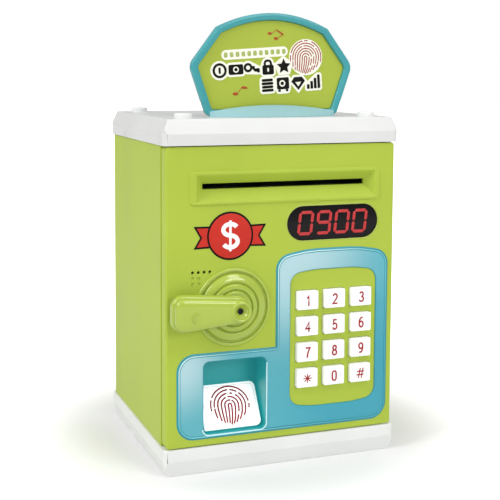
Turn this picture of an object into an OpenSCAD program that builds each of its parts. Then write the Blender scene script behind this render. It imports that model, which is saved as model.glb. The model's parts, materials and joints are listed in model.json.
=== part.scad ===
// Toy safe coin bank: a cabinet with a swinging door that carries a note feeder, a display,
// a keypad, a fingerprint well and a lever that throws a bolt.
// Millimetres. +X is to the right of the door's face, +Y runs from the door into the cabinet
// and +Z is up. The origin is the centre of the underside of the base.

/* [Cabinet] */
// Width over the side walls
cabinet_w = 130; // [124:1:160]
// Depth from the door's face to the rear wall
cabinet_d = 110; // [92:1:150]
// Height between the base and the lid
cabinet_h = 156.5; // [152:0.5:200]
// Wall thickness of the cabinet shell
shell_wall = 2.2; // [1.6:0.1:2.6]
// Radius of the shell's rear corners
shell_corner = 3; // [1:0.5:6]

/* [Lid and base] */
// Height of the lid
lid_h = 13.5; // [12:0.5:18]
// Height of the upright band round the lid
lid_band = 6; // [4:0.5:8]
// Height of the base
base_h = 14.5; // [12:0.5:20]
// Height of the upright band round the base
base_band = 6.2; // [4:0.1:8]
// How far the lid and base stand out past the shell
cap_overhang = 1; // [0.5:0.1:3]
// How far the lid's sloped edge comes in
lid_inset = 3; // [1:0.5:5]
// How far the base's sloped edge comes in
base_inset = 2.6; // [1:0.1:5]
// Wall thickness of the lid and base
cap_wall = 2.2; // [1.8:0.1:2.6]
// Radius of the upright corners of the lid and base
cap_corner = 3; // [2:0.5:5]
// Length of the coin slot in the lid
coin_slot_l = 32; // [26:1:40]
// Width of the coin slot in the lid
coin_slot_w = 4.6; // [4.4:0.1:6]

/* [Sign] */
// Height of the sign above the lid
sign_h = 54.9; // [48:0.1:66]
// Half the width of the sign at its widest
sign_half_w = 45.6; // [42:0.1:54]
// Thickness of the sign's frame
sign_t = 4; // [3:0.5:6]
// Width of the sign's raised border
sign_border = 3.8; // [3:0.1:6]
// Distance from the door's face to the front of the sign
sign_setback = 17; // [14:0.5:30]

/* [Door] */
// Depth of the door's skirt
door_t = 7.7; // [7:0.1:9]
// Thickness of the door's front plate
door_plate = 2.2; // [1.8:0.1:2.6]
// Gap between the door and the cabinet, lid and base
door_gap = 0.5; // [0.4:0.1:0.8]
// Depth of the housing behind the door, measured from the door's face
housing_d = 31.8; // [31.6:0.1:36]
// Wall thickness of the housing behind the door
cover_wall = 1.5; // [1.2:0.1:1.8]
// Radius of the hinge pins
pin_r = 2; // [1.5:0.1:2.2]
// Radial clearance of the pins and shafts in their bores
running_gap = 0.06; // [0.02:0.01:0.1]

/* [Note slot] */
// Length of the slot that takes a note
slot_l = 91.5; // [80:0.5:94]
// Height of the slot that takes a note
slot_h = 2.8; // [2:0.1:3.4]
// Distance from the lid down to the middle of the slot
slot_drop = 21.4; // [20:0.1:24]
// Depth of the sloped recess in front of the slot
slot_recess = 4.5; // [3:0.1:5]

/* [Keypad] */
// Width of a key
key_w = 12; // [10:0.1:12.6]
// Height of a key
key_h = 10; // [8:0.1:11]
// Distance between the columns of keys
key_pitch_x = 15.65; // [15:0.05:17]
// Distance between the rows of keys
key_pitch_z = 14; // [13:0.1:15]
// How far the keys stand out of the door
key_proud = 2.5; // [1.5:0.1:4]
// Travel of a key
key_travel = 1; // [0.5:0.1:1.2]

/* [Fingerprint well] */
// Width of the well
well_w = 34.5; // [30:0.5:36]
// Height of the well
well_h = 38.4; // [36:0.1:42]
// Depth of the well
well_d = 16.5; // [16:0.1:18]
// Tilt of the touch pad from upright
pad_tilt = 32; // [28:1:34]
// Travel of the touch pad
pad_travel = 1; // [0.5:0.1:1.2]

/* [Lever and bolt] */
// Distance from the lever's axis to its free end
lever_l = 35.5; // [30:0.5:36]
// Height of the lever at its free end
lever_h = 19; // [16:0.5:20]
// Height of the lever at its hub
lever_hub_h = 14; // [13:0.5:16]
// Radius of the lever's spindle
spindle_r = 5; // [4:0.1:5.5]
// Number of teeth on the pinion that drives the bolt
pinion_teeth = 12; // [10:1:14]
// Module of the pinion and rack
pinion_module = 1; // [0.9:0.05:1]
// How far the lever turns, in degrees
lever_turn = 60; // [40:1:60]

/* [Hidden] */
$fn = 64;
KEY_NAMES = ["key_1", "key_2", "key_3", "key_4", "key_5", "key_6",
             "key_7", "key_8", "key_9", "key_star", "key_0", "key_hash"];

// Faces of the cabinet
x_left = -cabinet_w / 2;
x_right = cabinet_w / 2;
y_front = -cabinet_d / 2;
y_back = cabinet_d / 2;
z_floor = base_h;
z_ceil = base_h + cabinet_h;
lid_top = z_ceil + lid_h;
y_shell = y_front + door_t + door_gap;
coin_y = y_front + 63;
fit = 0.1;
cut = 1;

// Door
door_inset = 0.4;
skirt_wall = 2;
door_x0 = x_left + door_inset;
door_x1 = x_right - door_inset;
door_z0 = z_floor + door_gap;
door_z1 = z_ceil - door_gap;
y_plate = y_front + door_plate;
y_skirt = y_front + door_t;
door_corner = 2;
hinge_front_r = 2.2;
hinge_rear_r = 3;
free_edge_r = 1.2;
pin_x = x_right - 4;
pin_y = y_front + 3.6;
pin_depth = 9;
pin_collar_r = 3.4;
pin_bush_l = 12;

// Housing behind the door
housing_x0 = x_left + 11;
housing_x1 = x_right - 7.5;
housing_z0 = z_floor + 2.7;
housing_z1 = z_ceil - 3.5;
y_housing = y_front + housing_d;
flange_t = 2;
y_flange = y_skirt - flange_t;

// Note slot and feeder
slot_x = 2;
slot_z = z_ceil - slot_drop;
mouth_w = 101;
mouth_h = 14;
mouth_rise = -0.6;
funnel_wall = 2;
slot_frame_proud = 0.7;
slot_frame_w = 107;
slot_frame_h = 17;
y_funnel = y_front + slot_recess + funnel_wall;
cheek_t = 2;
cheek_x0 = slot_x - slot_l / 2 - 1 - cheek_t;
cheek_x1 = slot_x + slot_l / 2 + 1;
roller_y = y_front + 19.5;
drive_r = 5;
idler_r = 4;
note_gap = 0.3;
drive_z = slot_z - note_gap / 2 - drive_r;
idler_z = slot_z + note_gap / 2 + idler_r;
roller_shaft_r = 1.5;
gear_module = 0.9;
roller_teeth = 20;
motor_teeth = 10;
gear_t = 3.5;
gear_x = cheek_x1 + cheek_t + 0.3;
motor_z = drive_z - gear_module * (roller_teeth + motor_teeth) / 2;
motor_l = 25;
motor_w = 20;
motor_thick = 15;
motor_shaft_r = 1;

// Display and labels
display_x = x_right - 37;
display_z = z_ceil - 42.25;
display_w = 53;
display_h = 18.5;
lens_recess = 0.5;
digit_w = 7.2;
digit_h = 12.6;
digit_pitch = 10.7;
digit_bar = 1.7;
badge_x = x_left + 34;
badge_z = z_ceil - 46;
badge_r = 12;
label_t = 0.25;

// Keypad
keypad_x = x_right - 36.35;
keypad_z = z_floor + 52.3;
key_flange = 1;
key_hole_gap = 0.3;
y_key_flange = y_plate + key_flange;
key_stem_r = 2.5;
key_end_gap = 0.3;
y_membrane = y_front + 6.4;
membrane_t = 1;
collar_h = 2;
board_t = 1.6;
y_board = y_membrane + membrane_t;
board_x0 = keypad_x - 27.2;
board_x1 = keypad_x + 26.3;
board_z0 = keypad_z - 40.8;
board_z1 = display_z + 10.2;

// Bezel round the keypad and the well
bezel_proud = 0.8;
bezel_x0 = x_left + 6;
bezel_x1 = x_right - 4;
bezel_z0 = z_floor + 4;
bezel_step_x = keypad_x - 33.2;
bezel_low_z = z_floor + 49.3;
bezel_high_z = z_floor + 97;
bezel_arch = 3.6;
bezel_r = 9.5;
island_w = 50;
island_h = 70;
island_arch = 2;
island_r = 6.5;

// Fingerprint well
well_x = x_left + 37.75;
well_z0 = z_floor + 6.1;
well_wall = 1.8;
well_r = 3;
pad_w = 31.5;
pad_l = 23.8;
pad_t = 1.6;
pad_y = y_front + 7.5;
pad_z = well_z0 + 11.9;
pad_r = 3;
pad_stem_r = 3;
pad_stem_l = 5;
shelf_gap = 0.7;
shelf_t = 1.8;

// Lever, dial and lock
lever_x = x_left + 36.5;
lever_z = z_floor + 72.5;
lever_y0 = y_front - 5.5;
lever_split_y = y_front - 9.6;
lever_y1 = y_front - 14;
hub_hole_r = 2.6;
dial_r = 20.5;
pitch_r = pinion_teeth * pinion_module / 2;
pressure_angle = 25;
tooth_thin = 0.12;
bolt_y0 = y_front + 11;
bolt_y1 = y_front + 16;
bolt_top = lever_z + pitch_r + 7;
bolt_root = lever_z + pitch_r + 1.05 * pinion_module;
bolt_travel = pitch_r * lever_turn * PI / 180;
bolt_end_gap = 0.2;
bolt_x0 = x_left + shell_wall + bolt_travel + bolt_end_gap;
bolt_x1 = lever_x + 16;
slide_gap = 0.15;
case_front = 1.8;
case_x0 = housing_x0 + cover_wall + 0.3;
case_x1 = lever_x + 17;

// Batteries
battery_r = 7.25;
battery_l = 50.5;
battery_pitch = 15;
battery_x = keypad_x;
battery_z0 = z_floor + 17.5;
battery_y = y_front + 20;

// Screws
screw_r = 1.25;
screw_head_r = 2.6;
boss_r = 2.7;
boss_h = 7;
cap_screw_x = cabinet_w / 2 - 13;
cap_screw_y = cabinet_d / 2 - 11;
plug_r = 4.8;
plug_proud = 2.5;
plug_stem_r = 3.8;
small_screw_r = 0.8;
small_boss_r = 2.2;
board_screws = [for (x = [board_x0 + 2.6, board_x1 - 2.2]) for (z = [keypad_z - 33.8, keypad_z + 38.2]) [x, z]];
lock_screws = [[lever_x - 19.5, lever_z - 7], [lever_x + 14, lever_z - 1]];
feeder_screws = [[slot_x - 32, slot_z + 13], [slot_x + 32, slot_z + 13]];
left_screw_x = x_left + 6.6;
right_screw_x = x_right - 4.8;
door_screws_at = [for (z = [z_floor + 11, z_floor + 62, z_ceil - 10]) [left_screw_x, z],
                  for (z = [z_floor + 26, z_floor + 80, z_ceil - 26]) [right_screw_x, z]];

// ---- Building blocks ----

module block(x, y, z)
    translate([x[0], y[0], z[0]]) cube([x[1] - x[0], y[1] - y[0], z[1] - z[0]]);

module rod_x(y, z, x0, x1, r) translate([x0, y, z]) rotate([0, 90, 0]) cylinder(r = r, h = x1 - x0);

module rod_y(x, z, y0, y1, r) translate([x, y0, z]) rotate([-90, 0, 0]) cylinder(r = r, h = y1 - y0);

module rod_z(x, y, z0, z1, r) translate([x, y, z0]) cylinder(r = r, h = z1 - z0);

// A flat outline in x and z, made solid from y0 back to y0 + t
module upright(y0, t) translate([0, y0 + t, 0]) rotate([90, 0, 0]) linear_extrude(t) children();

// A flat outline in y and z, made solid from x0 to x0 + t
module sideways(x0, t)
    translate([x0, 0, 0]) rotate([90, 0, 90]) linear_extrude(t) children();

module rounded(w, h, r) {
    square([w - 2 * r, h], center = true);
    square([w, h - 2 * r], center = true);
    for (x = [-1, 1], y = [-1, 1]) translate([x * (w / 2 - r), y * (h / 2 - r)]) circle(r);
}

// What a corner of radius r loses, in the quadrant given by the signs
module corner_waste(x, y, r, sx, sy)
    translate([x - sx * r, y - sy * r]) scale([sx, sy]) difference() {
        square(r + cut);
        circle(r);
    }

// A bowed line from x0 to x1 at height z that rises by sag in the middle
function bow(x0, x1, z, sag, n = 16) =
    [for (i = [0 : n]) let (t = i / n) [x0 + (x1 - x0) * t, z + sag * 4 * t * (1 - t)]];

module cap_side(w, h, band, inset)
    polygon([[-w / 2, 0], [w / 2, 0], [w / 2, band], [w / 2 - inset, h],
             [inset - w / 2, h], [-w / 2, band]]);

// A shallow box with an upright band below and sloped edges above
module cap(w, d, h, band, inset, r) intersection() {
    linear_extrude(h) rounded(w, d, r);
    upright(-d, 2 * d) cap_side(w, h, band, inset);
    sideways(-w, 2 * w) cap_side(d, h, band, inset);
}

module cap_outer(h, band, inset)
    cap(cabinet_w + 2 * cap_overhang, cabinet_d + 2 * cap_overhang, h, band, inset, cap_corner);

// The hollow of a cap, which opens cut below its band
module cap_hollow(h, band, inset) {
    slope = inset * (h - cap_wall - band) / (h - band);
    translate([0, 0, -cut])
        cap(cabinet_w + 2 * cap_overhang - 2 * cap_wall, cabinet_d + 2 * cap_overhang - 2 * cap_wall,
            h - cap_wall + cut, band + cut, slope, max(cap_corner - cap_wall, 0.5));
}

// The closed strip under the front of a cap, over the door
module cap_front_strip(extra = 0)
    block([x_left, x_right], [y_front - cap_overhang, y_shell], [-extra, cap_wall]);

module at_cap_screws() for (x = [-1, 1], y = [-1, 1])
    translate([x * cap_screw_x, y * cap_screw_y, 0]) children();

module pan_screw(head_r, head_h, shank_r, shank_l) {
    cylinder(r = shank_r, h = shank_l);
    difference() {
        translate([0, 0, -head_h]) cylinder(r = head_r, h = head_h);
        for (a = [0, 90]) rotate(a) translate([-head_r * 0.6, -head_r * 0.11, -head_h - cut])
            cube([head_r * 1.2, head_r * 0.22, cut + head_h * 0.5]);
    }
}

// A screw that points along -Y from y0 into the door
module door_way_screw(x, z, y0, head_r, head_h, shank_r, shank_l)
    translate([x, y0, z]) rotate([90, 0, 0]) pan_screw(head_r, head_h, shank_r, shank_l);

// Involute tooth flank angle at radius r
function inv(base, r) = let (a = acos(min(1, base / r))) tan(a) * 180 / PI - a;

// A spur gear outline: m module, z teeth, add and ded in modules
module spur(m, z, add = 0.8, ded = 1.0) {
    rp = m * z / 2;
    rb = rp * cos(pressure_angle);
    ra = rp + add * m;
    rr = rp - ded * m;
    half = 90 / z + inv(rb, rp) - tooth_thin / rp * 90 / PI;
    steps = 4;
    radii = [for (i = [0 : steps]) max(rb, rr) + (ra - max(rb, rr)) * i / steps];
    polygon([for (k = [0 : z - 1]) let (c = k * 360 / z) each concat(
        [[rr * cos(c - half), rr * sin(c - half)]],
        [for (r = radii) let (a = c - half + inv(rb, r)) [r * cos(a), r * sin(a)]],
        [for (i = [steps : -1 : 0]) let (r = radii[i], a = c + half - inv(rb, r)) [r * cos(a), r * sin(a)]],
        [[rr * cos(c + half), rr * sin(c + half)]])]);
}

// ---- Cabinet ----

module shell_plan(grow) {
    x = cabinet_w / 2 - grow;
    r = max(shell_corner - grow, 0.5);
    difference() {
        translate([-x, y_shell - (grow > 0 ? cut : 0)])
            square([2 * x, y_back - grow - y_shell + (grow > 0 ? cut : 0)]);
        for (s = [-1, 1]) corner_waste(s * x, y_back - grow, r, s, 1);
    }
}

module cabinet_shell() color("yellowgreen") difference() {
    union() {
        translate([0, 0, z_floor]) linear_extrude(cabinet_h) shell_plan(0);
        at_cap_screws() {
            translate([0, 0, z_ceil]) cylinder(r = boss_r, h = boss_h);
            translate([0, 0, z_floor - boss_h]) cylinder(r = boss_r, h = boss_h);
        }
    }
    translate([0, 0, z_floor + shell_wall]) linear_extrude(cabinet_h - 2 * shell_wall) shell_plan(shell_wall);
    at_cap_screws() for (z = [z_ceil - shell_wall + 0.6, z_floor - boss_h - cut])
        translate([0, 0, z]) cylinder(r = screw_r, h = boss_h + cut + 0.6);
    translate([0, coin_y, z_ceil - shell_wall - cut])
        linear_extrude(shell_wall + 2 * cut) square([coin_slot_l + 1, coin_slot_w + 1], center = true);
}

module sign_tab_plan(grow)
    for (s = [-1, 1]) translate([s * 22, y_front + sign_setback + sign_t / 2])
        square([10 + 2 * grow, sign_t - 1.6 + 2 * grow], center = true);

module lid() color("whitesmoke") difference() {
    union() {
        translate([0, 0, z_ceil]) difference() {
            cap_outer(lid_h, lid_band, lid_inset);
            difference() {
                cap_hollow(lid_h, lid_band, lid_inset);
                cap_front_strip(2 * cut);
            }
        }
        intersection() {
            translate([0, 0, z_ceil]) cap_outer(lid_h, lid_band, lid_inset);
            union() {
                at_cap_screws() translate([0, 0, z_ceil + boss_h])
                    cylinder(r = plug_stem_r + 1.6, h = lid_h - boss_h - cap_wall / 2);
                rod_z(pin_x, pin_y, z_ceil + cap_wall / 2, z_ceil + pin_depth + 1.5, pin_r + 2);
                translate([0, coin_y, z_ceil]) linear_extrude(lid_h - cap_wall / 2)
                    square([coin_slot_l + 4, coin_slot_w + 4], center = true);
            }
        }
    }
    at_cap_screws() {
        translate([0, 0, z_ceil + boss_h - cut]) cylinder(r = screw_r + 0.3, h = lid_h);
        translate([0, 0, z_ceil + boss_h + 1.6]) cylinder(r = plug_stem_r, h = lid_h);
    }
    rod_z(pin_x, pin_y, z_ceil - cut, z_ceil + pin_depth, pin_r);
    translate([0, coin_y, z_ceil - cut]) linear_extrude(lid_h + 2 * cut)
        square([coin_slot_l, coin_slot_w], center = true);
    translate([0, 0, lid_top - cap_wall - cut]) linear_extrude(cap_wall + 2 * cut) sign_tab_plan(fit);
}

module screw_plugs() color("white") at_cap_screws() {
    translate([0, 0, z_ceil + boss_h + 4.2]) cylinder(r = plug_stem_r - 0.05, h = lid_h - boss_h - 4.2);
    translate([0, 0, lid_top]) cylinder(r = plug_r, h = plug_proud);
}

module lid_screws() color("silver") at_cap_screws() translate([0, 0, z_ceil + boss_h + 1.6])
    mirror([0, 0, 1]) pan_screw(screw_head_r, 1.8, screw_r, boss_h + 1);

module base() color("whitesmoke") difference() {
    union() {
        translate([0, 0, base_h]) mirror([0, 0, 1]) difference() {
            cap_outer(base_h, base_band, base_inset);
            difference() {
                cap_hollow(base_h, base_band, base_inset);
                cap_front_strip(2 * cut);
            }
        }
        intersection() {
            translate([0, 0, base_h]) mirror([0, 0, 1]) cap_outer(base_h, base_band, base_inset);
            union() {
                at_cap_screws() translate([0, 0, cap_wall / 2])
                    cylinder(r = plug_stem_r + 1.6, h = base_h - boss_h - cap_wall / 2);
                rod_z(pin_x, pin_y, cap_wall / 2, base_h - cap_wall / 2, pin_r + 2);
            }
        }
    }
    at_cap_screws() {
        translate([0, 0, -cut]) cylinder(r = screw_r + 0.3, h = base_h);
        translate([0, 0, -cut]) cylinder(r = plug_stem_r, h = base_h - boss_h - 1.6 + cut);
    }
    rod_z(pin_x, pin_y, base_h - pin_depth, base_h + cut, pin_r);
}

module base_screws() color("silver") at_cap_screws() translate([0, 0, base_h - boss_h - 1.6])
    pan_screw(screw_head_r, 1.8, screw_r, boss_h + 1);

module hinge_pins() color("silver") {
    rod_z(pin_x, pin_y, door_z1 - pin_bush_l + 1, z_ceil + pin_depth, pin_r);
    rod_z(pin_x, pin_y, z_floor - pin_depth, door_z0 + pin_bush_l - 1, pin_r);
    rod_z(pin_x, pin_y, z_floor, z_floor + door_gap - 0.05, pin_collar_r);
}

strike_x0 = x_left + shell_wall;
strike_x1 = housing_x0 - 4.6;

module strike_plate() color("gray") difference() {
    block([strike_x0, strike_x1], [y_shell + 0.4, bolt_y1 + 4], [bolt_root - 6, bolt_top + 6]);
    block([strike_x0 - cut, strike_x1 + cut], [bolt_y0 - 0.6, bolt_y1 + 0.6], [bolt_root - 0.6, bolt_top + 0.6]);
}

// ---- Sign ----

sign_y = y_front + sign_setback;
sign_corner_x = sign_half_w - 13.9;
sign_corner_z = lid_top + sign_h - 7.9;
sign_wide_z = lid_top + 26;

function sign_top() = bow(-sign_corner_x, sign_corner_x, sign_corner_z, lid_top + sign_h - sign_corner_z);

module sign_outline() hull() {
    polygon(sign_top());
    for (s = [-1, 1]) {
        translate([s * (sign_half_w - 7), sign_wide_z]) circle(7, $fn = 32);
        translate([s * (sign_half_w - 11.2), lid_top + 4.5]) circle(4, $fn = 32);
    }
    translate([0, lid_top + 0.01]) square([2 * (sign_half_w - 12), 0.02], center = true);
}

module sign_window() intersection() {
    offset(delta = -sign_border) sign_outline();
    polygon(concat(bow(-sign_half_w, sign_half_w, lid_top + 1.5, 4.7),
                   [[sign_half_w, lid_top + sign_h], [-sign_half_w, lid_top + sign_h]]));
}

foot_half_w = sign_half_w - 10;
foot_reach = 10;
foot_r = (foot_half_w * foot_half_w + foot_reach * foot_reach) / (2 * foot_reach);

module sign_frame() color("lightseagreen") union() {
    upright(sign_y, sign_t) difference() {
        sign_outline();
        sign_window();
    }
    upright(sign_y + sign_t - 0.8, 0.8) sign_outline();
    intersection() {
        translate([0, sign_y - foot_reach + foot_r, lid_top]) cylinder(r = foot_r, h = 8, $fn = 128);
        sideways(-foot_half_w, 2 * foot_half_w)
            polygon([[sign_y + 1, lid_top], [sign_y - foot_reach, lid_top], [sign_y - foot_reach, lid_top + 0.8],
                     [sign_y - 1, lid_top + 6.2], [sign_y + 1, lid_top + 6.2]]);
        upright(sign_y - foot_reach, foot_reach + 1)
            polygon(concat([[foot_half_w, lid_top], [-foot_half_w, lid_top]],
                           bow(-foot_half_w, foot_half_w, lid_top + 2.8, 3.4)));
    }
    translate([0, 0, lid_top - cap_wall]) linear_extrude(cap_wall + 0.5) sign_tab_plan(0);
}

module sign_panel() color("yellowgreen")
    upright(sign_y + 1.8, sign_t - 2.6) offset(delta = -fit) sign_window();

module sign_label() color("ivory") upright(sign_y + 1.8 - label_t, label_t) {
    translate([19.3, lid_top + 31.7]) circle(9.6);
    translate([-11.5, lid_top + 25.2]) rotate(4) rounded(42, 11, 3);
    translate([10.5, lid_top + 17.6]) rotate(4) rounded(34, 10, 3);
    translate([-10, lid_top + 33.6]) rotate(4) rounded(38, 5, 2);
}

// ---- Door ----

module door_plan() difference() {
    translate([door_x0, y_front]) square([door_x1 - door_x0, door_t]);
    corner_waste(door_x1, y_front, hinge_front_r, 1, -1);
    corner_waste(door_x1, y_skirt, hinge_rear_r, 1, 1);
    corner_waste(door_x0, y_front, free_edge_r, -1, -1);
}

module door_outline() difference() {
    translate([door_x0, door_z0]) square([door_x1 - door_x0, door_z1 - door_z0]);
    for (x = [[door_x0, -1], [door_x1, 1]], z = [[door_z0, -1], [door_z1, 1]])
        corner_waste(x[0], z[0], door_corner, x[1], z[1]);
}

module slot_funnel() {
    y0 = y_front - slot_frame_proud - 0.01;
    y1 = y_front + slot_recess;
    z0 = slot_z + mouth_rise;
    intersection() {
        translate([0, 0, slot_z - mouth_h]) linear_extrude(2 * mouth_h)
            polygon([[slot_x - mouth_w / 2, y0], [slot_x + mouth_w / 2, y0],
                     [slot_x + slot_l / 2, y1], [slot_x - slot_l / 2, y1]]);
        sideways(slot_x - mouth_w, 2 * mouth_w)
            polygon([[y0, z0 - mouth_h / 2], [y0, z0 + mouth_h / 2],
                     [y1, slot_z + slot_h / 2], [y1, slot_z - slot_h / 2]]);
    }
    block([slot_x - slot_l / 2, slot_x + slot_l / 2], [y1 - 0.1, y_funnel + cut],
          [slot_z - slot_h / 2, slot_z + slot_h / 2]);
}

module display_outline(grow) translate([display_x, display_z])
    rounded(display_w + 2 * grow, display_h + 2 * grow, display_h / 2 + grow - 0.05);

module well_outline(grow) translate([well_x, well_z0 + well_h / 2])
    rounded(well_w + 2 * grow, well_h + 2 * grow, well_r + grow);

function key_x(i) = keypad_x + (i % 3 - 1) * key_pitch_x;
function key_z(i) = keypad_z + (1.5 - floor(i / 3)) * key_pitch_z;
key_indices = [0 : 11];

module at_speaker_holes()
    for (i = [0 : 3]) translate([lever_x - 21.8 + 3.1 * i, lever_z + 19]) children();

module speaker_dimples()
    for (x = [0, 1], z = [1, 2]) translate([lever_x - 21.8 + 3.1 * x, lever_z + 19 - 3 * z]) children();

speaker_x = lever_x - 17.2;
speaker_z = lever_z + 17.5;
speaker_r = 13;

module small_boss(at, y1) rod_y(at[0], at[1], y_plate - 0.2, y1, small_boss_r);
module small_pilot(at, y1) rod_y(at[0], at[1], y_plate + 0.3, y1 + cut, small_screw_r);

module door_front() color("yellowgreen") difference() {
    union() {
        intersection() {
            translate([0, 0, door_z0]) linear_extrude(door_z1 - door_z0) door_plan();
            difference() {
                upright(y_front, door_t) door_outline();
                block([door_x0 + skirt_wall, door_x1 - skirt_wall], [y_plate, y_skirt + cut],
                      [door_z0 + skirt_wall, door_z1 - skirt_wall]);
            }
        }
        for (z = [[door_z0, door_z0 + pin_bush_l], [door_z1 - pin_bush_l, door_z1]])
            block([housing_x1 + 0.5, door_x1 - skirt_wall + 0.4], [y_plate - 0.4, y_skirt], z);
        upright(y_front - slot_frame_proud, slot_frame_proud + 0.4)
            translate([slot_x - 0.5, slot_z + mouth_rise]) rounded(slot_frame_w, slot_frame_h, 2);
        block([slot_x - mouth_w / 2 - 1, slot_x + mouth_w / 2 + 1], [y_plate - 0.4, y_funnel],
              [slot_z + mouth_rise - mouth_h / 2 - 1, slot_z + mouth_rise + mouth_h / 2 + 1]);
        rod_y(lever_x, lever_z, y_plate - 0.4, bolt_y0 - case_front - 0.4, spindle_r + 3);
        upright(y_plate - 0.4, 3) translate([speaker_x, speaker_z]) difference() {
            circle(speaker_r + 1.3);
            circle(speaker_r + 0.15);
        }
        for (at = board_screws) small_boss(at, y_board);
        for (at = lock_screws) small_boss(at, bolt_y0 - case_front);
        for (at = feeder_screws) small_boss(at, y_funnel);
        for (at = door_screws_at) small_boss(at, y_flange);
    }
    slot_funnel();
    for (z = [door_z0 - cut, door_z1 - pin_bush_l + 0.6])
        rod_z(pin_x, pin_y, z, z + pin_bush_l + cut - 0.6, pin_r + running_gap);
    upright(y_front - cut, 2 * door_plate + cut) display_outline(0.1);
    upright(y_front - cut, 2 * door_plate + cut) well_outline(well_wall + fit);
    for (i = key_indices) upright(y_front - cut, 2 * door_plate + cut)
        translate([key_x(i), key_z(i)]) rounded(key_w + 2 * key_hole_gap, key_h + 2 * key_hole_gap, 1);
    rod_y(lever_x, lever_z, y_front - cut, bolt_y0, spindle_r + running_gap);
    upright(y_front - cut, 2 * door_plate + cut) at_speaker_holes() circle(0.75);
    upright(y_front - cut, cut + 0.4) speaker_dimples() circle(0.7);
    for (at = board_screws) small_pilot(at, y_board);
    for (at = lock_screws) small_pilot(at, bolt_y0);
    for (at = feeder_screws) small_pilot(at, y_funnel);
    for (at = door_screws_at) small_pilot(at, y_flange);
}

module bezel_outline() difference() {
    union() {
        polygon(concat([[bezel_step_x, bezel_z0], [bezel_x1, bezel_z0]],
                       bow(bezel_x1, bezel_step_x, bezel_high_z, bezel_arch)));
        translate([bezel_x0, bezel_z0]) square([bezel_step_x - bezel_x0 + cut, bezel_low_z - bezel_z0]);
    }
    corner_waste(bezel_x0, bezel_z0, bezel_r, -1, -1);
    corner_waste(bezel_x0, bezel_low_z, bezel_r, -1, 1);
    corner_waste(bezel_x1, bezel_z0, bezel_r, 1, -1);
    corner_waste(bezel_x1, bezel_high_z + 1.2, bezel_r, 1, 1);
    corner_waste(bezel_step_x, bezel_high_z + 1.2, bezel_r, -1, 1);
}

module island_outline() difference() {
    polygon(concat(bow(keypad_x - island_w / 2, keypad_x + island_w / 2, keypad_z - island_h / 2, -island_arch),
                   bow(keypad_x + island_w / 2, keypad_x - island_w / 2, keypad_z + island_h / 2, island_arch)));
    for (sx = [-1, 1], sz = [-1, 1])
        corner_waste(keypad_x + sx * island_w / 2, keypad_z + sz * (island_h / 2 + 0.6), island_r, sx, sz);
}

// The frame of the touch pad: its face lies in the local x and z plane and faces -Y
module pad_frame() translate([well_x, pad_y, pad_z]) rotate([-pad_tilt, 0, 0]) children();

module keypad_bezel() color("deepskyblue") difference() {
    union() {
        upright(y_front - bezel_proud, bezel_proud) bezel_outline();
        difference() {
            upright(y_front - bezel_proud, bezel_proud + well_d + well_wall) well_outline(well_wall);
            upright(y_front - bezel_proud - cut, bezel_proud + well_d + cut) well_outline(0);
            pad_frame() translate([-well_w, pad_t + pad_travel + shelf_gap + shelf_t, -60])
                cube([2 * well_w, 40, 120]);
        }
        intersection() {
            upright(y_front, well_d + well_wall) well_outline(well_wall / 2);
            pad_frame() translate([-well_w, pad_t + pad_travel + shelf_gap, -30])
                cube([2 * well_w, shelf_t, 60]);
        }
        pad_frame() for (s = [-1, 1]) translate([s * 4.2 - 0.9, pad_t + pad_travel + shelf_gap + 1, -3])
            cube([1.8, 9, 6]);
    }
    upright(y_front - bezel_proud - cut, bezel_proud + cut) island_outline();
    upright(y_front - bezel_proud - cut, bezel_proud + 2 * cut) well_outline(0);
    pad_frame() rotate([-90, 0, 0]) cylinder(r = pad_stem_r + 0.3, h = 12);
}

module touch_pad() color("white") pad_frame() {
    upright(0, pad_t) rounded(pad_w, pad_l, pad_r);
    translate([0, pad_t - 0.1, 0]) rotate([-90, 0, 0]) cylinder(r = pad_stem_r, h = pad_stem_l + 0.1);
}

module touch_label() color("firebrick") pad_frame() upright(-0.12, 0.12)
    for (i = [0 : 3]) difference() {
        circle(8.6 - 2 * i);
        circle(7.8 - 2 * i);
    }

module microswitch() color("dimgray") pad_frame() {
    y0 = pad_t + pad_stem_l + pad_travel + 0.3;
    translate([-3.3, y0 + 1, -3]) cube([6.6, 3, 6]);
    translate([-1, y0, -1]) cube([2, 1.1, 2]);
}

module lever_dial() color("yellowgreen") translate([lever_x, y_front, lever_z]) rotate([90, 0, 0])
    rotate_extrude() polygon([[spindle_r + 0.4, 0], [dial_r, 0], [dial_r, 0.9], [dial_r - 0.5, 1.4],
        [dial_r - 1.2, 1.4], [dial_r - 1.8, 0.7], [dial_r - 2.6, 0.7], [dial_r - 4.6, 2.6], [13.4, 2.9],
        [13, 3.5], [10, 3.7], [9.5, 4.4], [spindle_r + 0.4, 4.4]]);

module display_lens() color("black") {
    upright(y_front + lens_recess, door_plate - lens_recess) display_outline(0);
    upright(y_plate, 0.4) display_outline(1);
}

// One seven-segment figure, from the names of its lit bars
module figure(lit) {
    h = digit_h / 2 - digit_bar / 2;
    for (s = lit) {
        flat = s < 3;
        centre = flat ? [0, (s - 1) * h] : [(s % 2 == 1 ? -1 : 1) * (digit_w - digit_bar) / 2, (s < 5 ? -1 : 1) * h / 2];
        length = (flat ? digit_w - digit_bar : h) - 0.5;
        translate(centre) rotate(flat ? 0 : 90) polygon([
            [-length / 2, 0], [-length / 2 + digit_bar / 2, digit_bar / 2], [length / 2 - digit_bar / 2, digit_bar / 2],
            [length / 2, 0], [length / 2 - digit_bar / 2, -digit_bar / 2], [-length / 2 + digit_bar / 2, -digit_bar / 2]]);
    }
}

ZERO = [0, 2, 3, 4, 5, 6];
NINE = [0, 1, 2, 4, 5, 6];

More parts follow.
